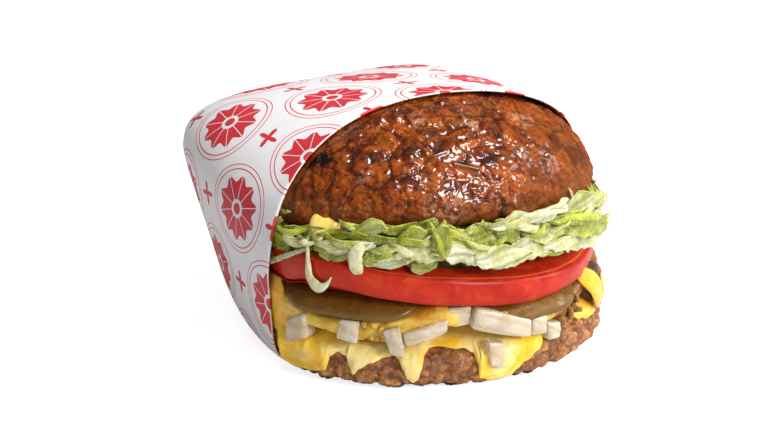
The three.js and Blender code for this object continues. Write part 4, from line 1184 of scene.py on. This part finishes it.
relish = {
    "radius": 55,
    "rightRadius": 52,
    "top": 27,
    "rightTop": 23.5,
    "pressedTop": 22,  # under the pickles
    "pressedHalfWidth": 27,  # in degrees
    "pressedMore": (3.6, -88, 26),  # further down under the right one: mm, degrees, half-width in degrees
    "squareness": 4,
    # lower edge at the rim: (degrees, height)
    "foot": [
        (-175, 14), (-160, 15), (-150, 14), (-142, 13.6), (-133, 15), (-126, 17.4), (-112, 17.8),
        (-96, 17), (-84, 15), (-60, 14), (0, 14), (120, 14),
    ],
    # lumps along stretches of the rim: degrees, heights, reach, how many and how brown
    "lumps": [
        (-145, -134, 14.5, 20.5, 54.6, 22, 0), (-156, -150, 15, 19, 54.4, 4, 0),
        (-84, -70, 15, 19, 54.6, 8, 0.9),
    ],
    "lumpSquareness": 4,
    # stretches in degrees. right, pale: start, full, fade, end. olive: place, half-width, strength. amber:
    # place, half-width. brown: start, full
    "right": (-82, -70, -20, 20),
    "pale": (-130, -123, -97, -90),
    "olive": ((-140, 9, 1), (-153, 5, 0.5)),
    "amber": (-126, 10),
    "brown": (-88, -80),
    "seed": 7,
}


def stretch(turn, start, full, fade, end):  # 1 between `full` and `fade`, 0 beyond the two ends
    return smooth(start, full, turn) * smooth(end, fade, turn)


def relishBed():
    # squat body of mush over the cheese, pressed down under the pickles and lower at the right
    angle = frontAngles(420, 20)
    across, along = dome(poleToPole(80), relish["squareness"])
    x, y = np.cos(angle), np.sin(angle)
    turn = np.degrees(angle)
    grainSizes = ((1, 5, 111), (0.55, 2.4, 114), (0.2, 1.1, 115))
    mush = sum(share * lumps(x * 52, y * 52, along * 7, size, seed) for share, size, seed in grainSizes)
    atRight = stretch(turn, *relish["right"])
    half = relish["pressedHalfWidth"]
    underPickles = [hump(turnBetween(turn, place["at"]), half) for place in pickles.values()]
    more, moreAt, moreHalf = relish["pressedMore"]
    pressedTop = relish["pressedTop"] - more * hump(turnBetween(turn, moreAt), moreHalf)
    top = mix(relish["top"], pressedTop, np.maximum(*underPickles) ** 0.4)
    top = top - (relish["top"] - relish["rightTop"]) * atRight
    radius = mix(relish["radius"], relish["rightRadius"], atRight)
    reach = (radius + 1.1 * lumps(x, y, 0, 0.4, 112) + 0.6 * mush) * across
    z = mix(onPeriod(relish["foot"], turn), top, (along + 1) / 2)
    cloud = 0.4 * lumps(x * 50, y * 50, z, 4, 113)
    olive = sum(strength * hump(turnBetween(turn, at), half) for at, half, strength in relish["olive"])
    pale = stretch(turn, *relish["pale"]) * smooth(20.5, 18.5, z + 2 * cloud)
    amberAt, amberHalf = relish["amber"]
    amber = hump(turnBetween(turn, amberAt), amberHalf) * smooth(20.5, 23, z + 2 * cloud)
    tone = np.clip(0.75 - 0.8 * olive + cloud, 0, 1)
    tones = {"tone": tone, "brown": smooth(*relish["brown"], turn), "pale": pale, "amber": amber}
    return closedBody(tucked(stacked(x * reach, y * reach, z)), **tones)


def pebble(centre, size, seed, turn):  # small superellipsoid with a noisy radius
    across, along = dome(poleToPole(9), relish["lumpSquareness"])
    x, y = squareRound(onceRound(14), relish["lumpSquareness"])
    grid = stacked(across * x, across * y, along)
    uneven = 1 + 0.25 * lumps(grid[..., 0], grid[..., 1], grid[..., 2], 0.9, seed)
    c, s = math.cos(turn), math.sin(turn)
    grid = (grid * uneven[..., None] * size) @ np.array([[c, s, 0], [-s, c, 0], [0, 0, 1]])
    grid[0], grid[-1] = grid[0, 0], grid[-1, 0]
    return grid + centre


def relishBits():
    # small translucent lumps of chopped relish, half sunk between the onions
    random = np.random.default_rng(relish["seed"])
    bodies = []
    for i, (start, end, low, high, reach, count, brown) in enumerate(relish["lumps"]):
        for j in range(count):
            at, z = random.uniform(start, end), random.uniform(low, high)
            length = random.uniform(1.2, 2.6)
            size = length * np.array([1.2, random.uniform(0.3, 0.5), random.uniform(0.5, 0.9)])
            centre = polar(at, reach - 0.15 * (z - low) + random.uniform(-1.0, -0.3), z)
            grid = pebble(centre, size, 300 + 50 * i + j, random.uniform(0, 3))
            bodies.append(closedBody(grid, tone=random.uniform(0.1, 0.7), brown=brown, pale=0, amber=0))
    return joined(bodies)


def relishMaterial():
    # olive to mustard yellow mush, with cream sauce, amber clouds and brown where juice has soaked the meat
    material, nodes, surface = newMaterial("relish", (0.15, (0.003, 0.002, 0.0006)), 0.4)
    mustard = nodes.span(nodes.value("tone"), 0.3, 0.7)
    colour = nodes.over(
        nodes.twoTone(3, paint(150, 116, 30), paint(206, 166, 54)),
        (mustard, nodes.twoTone(2, paint(216, 170, 50), paint(236, 204, 100))),
        (nodes.value("amber"), nodes.twoTone(3, paint(166, 98, 26), paint(218, 156, 46))),
        (nodes.value("pale"), nodes.twoTone(3, paint(232, 200, 118), paint(244, 222, 156))),
        (nodes.value("brown"), nodes.twoTone(2.4, paint(104, 56, 24), paint(172, 118, 66))),
    )
    finishMoist(nodes, surface, colour, crumb=(2.2, 0.0), film=(3, 0.75, 0.36, 0.1), bump=(0.4, 0.7))
    return material


relishFinish = relishMaterial()
addPiece("relishBed", relishBed(), relishFinish, "relish", "relish")
addPiece("relishBits", relishBits(), relishFinish, "relish", "relish")

onion = {"squareness": 9, "bulge": 0.4, "wobble": 0.2}
onions = [  # reach, depth, and corners as (degrees, height): upper left, upper right, lower right, lower left
    (56.6, 5, [(-167.0, 17.2), (-160.3, 21), (-159.5, 13.2), (-167.6, 10.2)]),
    (56.6, 5, [(-149.3, 20.8), (-143.6, 21), (-144.2, 14.2), (-150.6, 15.2)]),
    (56.6, 5, [(-137.1, 18.8), (-132.2, 20.5), (-130.6, 11.2), (-134.8, 11.9)]),
    (56.8, 4.4, [(-131.6, 18.1), (-119.0, 22.2), (-119.2, 18.6), (-130.6, 14.6)]),
    (54.8, 5, [(-119.2, 24.6), (-111.9, 25.0), (-111.6, 19.8), (-117.4, 19.2)]),
    (57.3, 5, [(-111.3, 24.8), (-94.2, 19.4), (-94.2, 13.6), (-112.8, 19.2)]),
    (56.6, 5, [(-93.6, 19.8), (-88.3, 19.0), (-88.0, 13.2), (-93.8, 14.0)]),
    (56.6, 5, [(-87.8, 16.4), (-82.5, 15.2), (-82.7, 10.7), (-87.6, 11.0)]),
    (57.2, 4, [(-107.8, 14.8), (-102.2, 13.6), (-102.7, 6.3), (-106.8, 7.5)]),
]


def onionDie(reach, depth, corners, seed):
    # superellipse block whose face is stretched over the four corners; a soft wobble bends its sides
    across, along = dome(poleToPole(41), onion["squareness"])
    u, v = squareRound(onceRound(88), onion["squareness"])
    u, v = across * u, across * v
    shareU, shareV = (u[..., None] + 1) / 2, (1 - v[..., None]) / 2
    table = np.array(corners, float)
    at, z = np.moveaxis(mix(mix(table[0], table[1], shareU), mix(table[3], table[2], shareU), shareV), -1, 0)
    wobble = onion["wobble"] * lumps(u * 3 + seed * 7, v * 3, along, 1.6, 120 + seed)
    bulge = onion["bulge"] * (1 - u**2) * (1 - 0.6 * v**2)
    grid = polar(at + 0.4 * wobble, reach + depth / 2 * (along - 1) + bulge + wobble, z + wobble)
    grid[0], grid[-1] = grid[0, 0], grid[-1, 0]
    return closedBody(grid, ring=0.5 + 0.5 * np.sin(v * 5 + 2 * u + 4 * wobble + seed))


def onionMaterial():
    # watery white with faint long layers, milky inside
    milky = (0.5, (0.004, 0.003, 0.002))
    material, nodes, surface = newMaterial("onion", milky, 0.4, Transmission_Weight=0.3, IOR=1.36)
    vein = nodes.span(nodes.value("ring"), 0.6, 1.0, 0, 0.35)
    white = nodes.twoTone(5, paint(214, 194, 160), paint(242, 232, 214))
    colour = nodes.blend(vein, white, paint(196, 166, 118))
    finishMoist(nodes, surface, colour, crumb=(4, 0.0), film=(6, 0.6, 0.34, 0.14), bump=(0.1, 0.5))
    return material


onionFinish = onionMaterial()
for i, die in enumerate(onions):
    addPiece(f"onionDie{i + 1}", onionDie(*die, i), onionFinish, "onion", f"onion_0{i + 1}")


lettuce = {
    "coreRadius": 47.5,
    "coreSquareness": 5,
    "bottom": 29,
    "top": 48,
    "shreds": 84,
    "looseLeaves": 46,
    "seed": 11,
    "leafHalfThickness": 0.2,
    "leafCup": 0.15,
    "leafCrease": 0.24,
    # torn leaves over the rim: reach, white at the top and bottom edge, ruffle, how far the lower edge
    # leans out, and rows of (degrees, top, bottom)
    "leaves": [
        (55.4, 0.55, 1.0, 0.35, 0.4, [
            (-142, 40.9, 37.2), (-139.4, 42.0, 36.6), (-135.6, 43.4, 36.6), (-132.3, 42.1, 37.3),
            (-128.4, 40.5, 39.4),
        ]),
        (55.2, 0.0, 0.9, 0.5, 0.5, [
            (-133.3, 45.0, 41.6), (-131.2, 47.3, 40.6), (-128.5, 48.8, 39.5), (-125.7, 48.2, 38.5),
            (-122.5, 48.2, 38.9), (-119.8, 50, 39.6),
        ]),
        (56.6, 0.1, 0.45, 0.3, -0.3, [
            (-123.1, 48.2, 42.0), (-121.5, 49.8, 39.2), (-119.6, 49.2, 39.4), (-118.5, 46.3, 42.3),
        ]),
        (55.8, 0.7, 0.95, 0.4, 0.4, [
            (-119.3, 45.1, 38.8), (-117.1, 44.7, 38.1), (-114.3, 43.9, 37.4), (-110.3, 41, 37.5),
        ]),
        (56.6, 0.75, 1.0, 0.4, 0.5, [
            (-111.6, 40.2, 37.6), (-108.9, 41.9, 35.7), (-105.4, 42.6, 35.4), (-101.8, 41.8, 35.8),
            (-98.1, 40.6, 36.1), (-94.5, 39.3, 38.4),
        ]),
        (55.6, 0.6, 0.8, 0.2, 0.1, [
            (-100, 42, 37.7), (-96.8, 42.9, 37.2), (-93.4, 42.5, 36.6), (-89.1, 40.8, 36.1),
        ]),
        (55.6, 0.1, 0.3, 0.2, 0.2, [(-89.4, 38.4, 36.2), (-85.5, 37.7, 35.2), (-81.8, 36.8, 35.0)]),
        (56.4, 0.75, 0.95, 0.3, 0.3, [
            (-89.7, 40.2, 37.9), (-85.9, 40.2, 36.7), (-81.8, 40.3, 35.7), (-77.7, 39.8, 35.4),
        ]),
        (56.2, 0.6, 0.9, 0.5, 0.3, [
            (-78.6, 38.8, 35.2), (-72.8, 39.2, 33.9), (-65.1, 38.4, 33.2), (-59.1, 37.4, 33.4),
            (-53, 38, 35),
        ]),
        (56.2, 0.9, 0.7, 0.2, 0.0, [
            (-157.1, 41.9, 41.3), (-154.3, 42.7, 40.4), (-150.4, 43.4, 39.7), (-146, 44, 40.8),
            (-142, 44, 42.6), (-140.1, 43.9, 43.6),
        ]),
        (55.4, 0.2, 0.65, 0.15, 0.3, [
            (-155.7, 39.9, 38), (-153.5, 40.2, 36.6), (-151.9, 40.2, 33.9), (-150.3, 40.2, 36.6),
            (-147.9, 40.4, 37.8), (-144.6, 41, 39.4),
        ]),
        (54.2, 0.9, 0.95, 0.1, 0.3, [
            (-176, 31.9, 30.4), (-170.8, 34.6, 32.8), (-166, 36.9, 35.1), (-161.6, 38.7, 37.6),
        ]),
        (52.4, 0.1, 0.25, 0.4, 0.2, [(-179, 39.7, 36.1), (-172.7, 41.6, 38.1), (-166.7, 42.9, 41)]),
        (52.4, 0.35, 0.6, 0.3, 0.4, [(-180, 35.4, 29.9), (-175, 38.2, 32), (-170.4, 39.3, 36.4)]),
        (54.8, 0.3, 0.5, 0.3, -0.3, [
            (-146.4, 45.6, 43.9), (-143.1, 48.9, 44.9), (-140.3, 50.3, 45.3), (-137.4, 49.8, 46),
            (-136.2, 48, 46.6),
        ]),
        (54.2, 0.05, 0.3, 0.5, 0.3, [
            (-156, 44.8, 41.9), (-151.5, 45.7, 42.6), (-146.9, 45.8, 43.6), (-141.6, 45.2, 43.4),
            (-137, 45.3, 42.9), (-131.6, 44.6, 42.6),
        ]),
        (53.8, 0.05, 0.25, 0.8, 0.4, [
            (-119.1, 46.6, 42.6), (-115.9, 46.2, 42.2), (-112.4, 47.6, 40.7), (-108.2, 47.7, 40.9),
            (-103.2, 47.7, 40.8), (-97.9, 46.3, 40.8), (-92.9, 44.8, 40.8),
        ]),
        (56.2, 0.8, 0.95, 0.5, 0.5, [
            (-106.4, 48.5, 46.8), (-102.5, 50.1, 46.2), (-98.9, 51, 46.2), (-95, 49.9, 46.2),
            (-90.5, 50, 46.6), (-86.5, 50.6, 47), (-81.6, 51.4, 47.4),
        ]),
        (57, 0.0, 0.1, 0.5, 0.6, [
            (-86.8, 47.4, 45.1), (-81.1, 46.9, 43.1), (-74.6, 44.9, 42), (-66.8, 42.4, 39.4),
            (-60.3, 40, 37.7),
        ]),
        (56, 0.5, 0.75, 0.6, -0.3, [
            (-80, 51, 46), (-75.8, 51.8, 45), (-70.3, 50.2, 44), (-65.6, 48.6, 43.7), (-60, 47.4, 43),
        ]),
        (55.8, 0.3, 0.55, 0.6, 0.4, [
            (-95.4, 46.8, 42), (-91.4, 46.6, 40.4), (-87, 45.8, 40.2), (-81.2, 44.4, 40),
            (-76.2, 42.6, 39.6),
        ]),
        (56.8, 0.1, 0.35, 0.6, 0.4, [
            (-80.2, 43.9, 39.8), (-73.8, 42.6, 37.5), (-65.9, 40.4, 35.8), (-59, 39, 36),
        ]),
        (55.4, 0.0, 0.0, 0.2, 0.2, [(-118.9, 49.3, 44.6), (-116.2, 47.4, 43.4), (-113.1, 45.2, 42.1)]),
        (52.8, 0.1, 0.2, 0.5, 0.0, [
            (-137, 48, 45.4), (-132.5, 48.2, 45.2), (-128.5, 49, 46), (-123.5, 50, 46.6),
        ]),
        (55, 0.0, 0.05, 0.2, 0.2, [
            (-104.5, 47, 43.6), (-101.8, 47.4, 42.6), (-99.4, 47.2, 41.2), (-98, 45.6, 42),
        ]),
        (53, 0.05, 0.2, 0.3, 0.2, [(-164, 44, 41.6), (-160.4, 45.2, 41), (-156, 45.4, 42.4)]),
    ],
    # thin ribs: half widths, turn, whiteness, and path of (degrees, reach, height)
    "ribs": [
        ([1.3, 1.6, 2.0, 2.2, 2.3], 0, 0.95, [
            (-139.4, 53.8, 42.2), (-142.4, 56.4, 42.6), (-144.2, 57, 40.6), (-144.2, 57, 38),
            (-143.8, 56.6, 34.8),
        ]),
        ([0.7, 0.6, 0.6, 0.8, 1.3, 1.8, 1.0, 0.3], 0, 0.75, [
            (-160.6, 50.5, 44), (-159.6, 55, 42), (-158.8, 56.4, 39.2), (-158.4, 57, 35.8),
            (-157.6, 57.4, 32), (-155.4, 57.4, 29.8), (-152.8, 57.4, 30.6), (-151, 57.2, 33.4),
        ]),
        ([0.7, 1.0, 1.1, 0.7], 30, 0.1, [
            (-124.4, 54, 49.4), (-122.6, 56.8, 47), (-121.4, 57.4, 43.6), (-120.4, 57, 40),
        ]),
        ([0.9, 1.2, 1.2, 0.8], 20, 0.0, [
            (-84, 55.6, 46.2), (-77, 57.4, 44.6), (-69, 57.6, 42.4), (-61, 56.4, 40),
        ]),
        ([0.8, 1.1, 1.0, 0.7], -20, 0.95, [
            (-100, 55, 49), (-94, 57.2, 49.2), (-88, 57.2, 48.8), (-82, 56, 47.4),
        ]),
    ],
}


def tornLeaf(rows, reach, ruffle, lean, seed):
    # leaf between an upper and a lower edge: `rows` are (degrees, top, bottom). It bulges by 1 - v^2,
    # leans out at its lower edge, has sharp folds that fan down from its top, and waves along both edges.
    steps, across = 72, 19
    rows = np.asarray(rows, float)
    overhang = [0.45, 0, 0]  # share of a row's spacing by which the leaf runs on past its end rows
    first = rows[:1] + (rows[:1] - rows[1:2]) * overhang
    last = rows[-1:] + (rows[-1:] - rows[-2:-1]) * overhang
    share = np.linspace(0, 1, steps)
    shape = spline(np.concatenate([first, rows, last]), share)
    v, sign = lens(across)
    at, top, bottom = (shape[:, i : i + 1] for i in range(3))
    ends = np.clip(np.sin(np.pi * np.clip(share, 0.003, 0.997)) / 0.45, 0, 1)[:, None] ** 0.7
    arc = np.radians(at) * reach
    edge = np.sign(v) * 9
    torn = 0.3 * lumps(arc, edge, 0, 2.4, seed + 1) + 0.16 * lumps(arc, edge, 0, 0.9, seed + 2)
    half = (top - bottom) / 2 * ends
    z = (top + bottom) / 2 - v * half * (1 + 0.5 * torn * np.abs(v)) - torn * np.abs(v) * 0.6
    fan = arc * (1 - 0.12 * v) + 1.2 * math.sin(seed * 2.3) * v * half
    folds = 1 - 2 * np.abs(lumps(fan, v * 1.2, 0, 4.6, seed + 3))
    folds = folds + 0.35 * (1 - 2 * np.abs(lumps(fan * 1.3, v * 1.6, 0, 2.2, seed + 4)))
    phase = 1.1 * seed + 0.8 * v + 1.6 * lumps(arc, v * 2, 0, 7, seed + 5)
    wave = np.sin(arc * (0.62 + 0.2 * math.sin(seed)) + phase)
    out = reach + lettuce["leafCup"] * (1 - v**2) + lean * v * half / 4 + lettuce["leafCrease"] * folds
    out = out + ruffle * wave * np.abs(v) ** 1.5 - 2.2 * (1 - ends)
    out = out + lettuce["leafHalfThickness"] * np.sqrt(np.clip(1 - v**4, 0, 1)) * sign * ends
    grid = polar(at, out, z)
    grid[0], grid[-1] = grid[0].mean(axis=0), grid[-1].mean(axis=0)
    return grid, v, arc, folds


def lettuceCore():
    # folded mass between the tomato and the upper patty, coloured dark olive as painted shade in the gaps
    # between the leaves
    angle = frontAngles(360, 20)
    across, along = dome(poleToPole(56), lettuce["coreSquareness"])
    x, y = np.cos(angle), np.sin(angle)
    z = mix(lettuce["bottom"], lettuce["top"], (along + 1) / 2)
    folds = 2.0 * lumps(x * 50, y * 50, z * 2.2, 9, 130) + 1.2 * np.abs(lumps(x * 50, y * 50, z * 3, 5, 131))
    reach = (lettuce["coreRadius"] + folds) * across
    return closedBody(tucked(stacked(x * reach, y * reach, z)), white=0.1, side=0, shade=0.85)


def tornLeaves(rows, seed):
    bodies = []
    for i, (reach, whiteTop, whiteBottom, ruffle, lean, edges) in enumerate(rows):
        grid, v, arc, folds = tornLeaf(edges, reach, 1.2 * ruffle, lean, seed + i)
        white = mix(whiteTop, whiteBottom, (v + 1) / 2) + 0.22 * lumps(arc, v * 3, 0, 4, seed + 60 + i)
        # painted shade: darker where the folds sink
        shade = np.clip(0.28 - 0.28 * folds, 0, 0.6)
        bodies.append(closedBody(tucked(grid), white=np.clip(white, 0, 1), side=np.abs(v), shade=shade))
    return bodies


def lettuceLeaves():
    bodies = tornLeaves(lettuce["leaves"], 500)
    for i, (halfWidth, turn, white, path) in enumerate(lettuce["ribs"]):
        shape = {"turn": turn, "cup": 0.3, "ruffle": 0.1, "crumple": 0.06, "seed": 560 + i, "blunt": 0.2}
        grid, v, length = strip(path, halfWidth, 0.35, steps=72, across=15, **shape)
        white = np.clip(white + 0.2 * lumps(length, v, 0, 4, 570 + i), 0, 1)
        bodies.append(closedBody(tucked(grid), white=white, side=np.abs(v), shade=0))
    return joined(bodies)


def pastFront(at):  # 0 over the open front, 1 past its right end, where the loose lettuce draws back
    return float(smooth(-62, -44, at))


def looseLeaf(random, at):
    # a row like those of lettuce["leaves"], with four edge rows round `at` degrees
    spread, low, tall = random.uniform(6, 13), random.uniform(34.5, 42), random.uniform(3, 7)
    highest = 48.5 - 4 * pastFront(at)
    edges = []
    for share in (0, 0.33, 0.66, 1):
        top = min(low + tall * random.uniform(0.7, 1.2), highest)
        edges.append((at + spread * (share - 0.5), top, low + tall * random.uniform(-0.15, 0.25)))
    white = random.uniform(0, 0.8)
    reach = random.uniform(50.4, 53.6) - 2.5 * pastFront(at)
    whiteBottom = np.clip(white + random.uniform(-0.3, 0.4), 0, 1)
    return reach, white, whiteBottom, random.uniform(0.4, 1.0), random.uniform(-0.4, 0.6), edges


def looseShred(random, at, seed):
    # wavy ribbon of four path points round `at` degrees, higher and further out at the right of the front
    spread = random.uniform(7, 17)
    toRight = float(hump(turnBetween(at, -70), 45))
    z = random.uniform(39.5, 47) + 1.5 * toRight - 3.5 * pastFront(at)
    rise = random.uniform(-2.5, 2.5) + 1.5 * toRight
    reach = random.uniform(52.5, 56.6) + 0.8 * toRight - 4.5 * pastFront(at)
    path = [(at - spread / 2, reach - 3.5, z - rise)]
    for side in (-1, 1):
        out = reach + random.uniform(-0.5, 0.8)
        path.append((at + side * spread / 6, out, z + side * rise / 3 + random.uniform(-1.2, 1.2)))
    path.append((at + spread / 2, reach - 3.5, z + rise))
    turn = [random.uniform(-40, 70) for _ in range(3)]
    white, halfWidth = random.uniform(-0.2, 0.9), random.uniform(0.5, 1.5)
    ruffle = random.uniform(0.1, 0.4)
    shape = {"turn": turn, "cup": 0.25, "ruffle": ruffle, "crumple": 0.12, "seed": 800 + seed}
    grid, v, length = strip(path, halfWidth, 0.2, steps=44, across=11, **shape)
    white = white + 0.35 - 0.5 * np.abs(v) ** 1.5 + 0.3 * lumps(length, v * 3, 0, 4, 900 + seed)
    return closedBody(tucked(grid), white=np.clip(white, 0, 1), side=np.abs(v), shade=0.05)


def lettuceShreds():
    # loose torn leaves and shreds behind the outer leaves, one in each equal step round the rim
    random = np.random.default_rng(lettuce["seed"])
    rows = []
    for i in range(lettuce["looseLeaves"]):
        rows.append(looseLeaf(random, mix(-188, 10, (i + random.uniform(0, 1)) / lettuce["looseLeaves"])))
    bodies = tornLeaves(rows, 700)
    for i in range(lettuce["shreds"]):
        at = mix(-186, 4, (i + random.uniform(0, 1)) / lettuce["shreds"])
        bodies.append(looseShred(random, at, i))
    return joined(bodies)


def lettuceMaterial():
    # yellow-green leaf that pales to a watery white rib, with fine veins, a light torn edge, and painted
    # shade in the folds and over the core
    material, nodes, surface = newMaterial("lettuce", (0.12, (0.002, 0.0025, 0.0008)), 0.4)
    clouds = nodes.span(nodes.noise(3.5, 4, 0.6), 0.3, 0.7, -0.25, 0.25)
    share = nodes.math("ADD", nodes.value("white"), clouds, clamp=True)
    vein = nodes.math("ABSOLUTE", nodes.math("SUBTRACT", nodes.noise(4.5, 3, 0.6, distortion=0.8), 0.5))
    vein = nodes.span(vein, 0.03, 0.0)
    colour = nodes.over(
        nodes.twoTone(4, paint(112, 126, 12), paint(184, 186, 48)),
        (nodes.span(share, 0.25, 0.8), nodes.twoTone(3, paint(186, 186, 116), paint(220, 216, 172))),
        (nodes.span(share, 0.8, 1.0, 0, 0.7), paint(226, 226, 202)),
        (nodes.math("MULTIPLY", vein, 0.45), paint(222, 224, 168)),
        (nodes.span(nodes.value("side"), 0.9, 1.0, 0, 0.4), paint(218, 212, 120)),
        # painted shade: dark olive over the core and in the folds
        (nodes.value("shade"), paint(70, 80, 14)),
    )
    crumb = nodes.shared("crumb", Size=2.0, Cells=0.0)["Height"]
    height = nodes.math("ADD", nodes.math("MULTIPLY", vein, 0.5), crumb)
    film = nodes.shared("wetFilm", Size=4, Wetness=0.4, Dry=0.45, Wet=0.16)["Roughness"]
    finish(nodes, surface, colour=colour, roughness=film, normal=nodes.bump(height, 0.4, 0.8))
    return material


lettuceFinish = lettuceMaterial()
for build in (lettuceCore, lettuceLeaves, lettuceShreds):
    addPiece(build.__name__, build(), lettuceFinish, "lettuce", "lettuce")


def cheeseTip():
    # tongue that leans out from under the patty and bends down over the lettuce, paler towards its tip,
    # partly cream and partly a painted highlight
    halfWidth, path = cheese["tip"]
    grid, v, length = strip(path, halfWidth, 1.1, steps=48, across=15, cup=0.6, seed=9, blunt=0.3)
    # the pale ramp to the tip is partly a painted highlight
    return closedBody(grid, pale=np.clip(0.2 + 0.9 * length / length.max(), 0, 1), orange=0, bright=0.3)


addPiece("cheeseTip", cheeseTip(), cheeseFinish, "cheese", "cheese_tip")
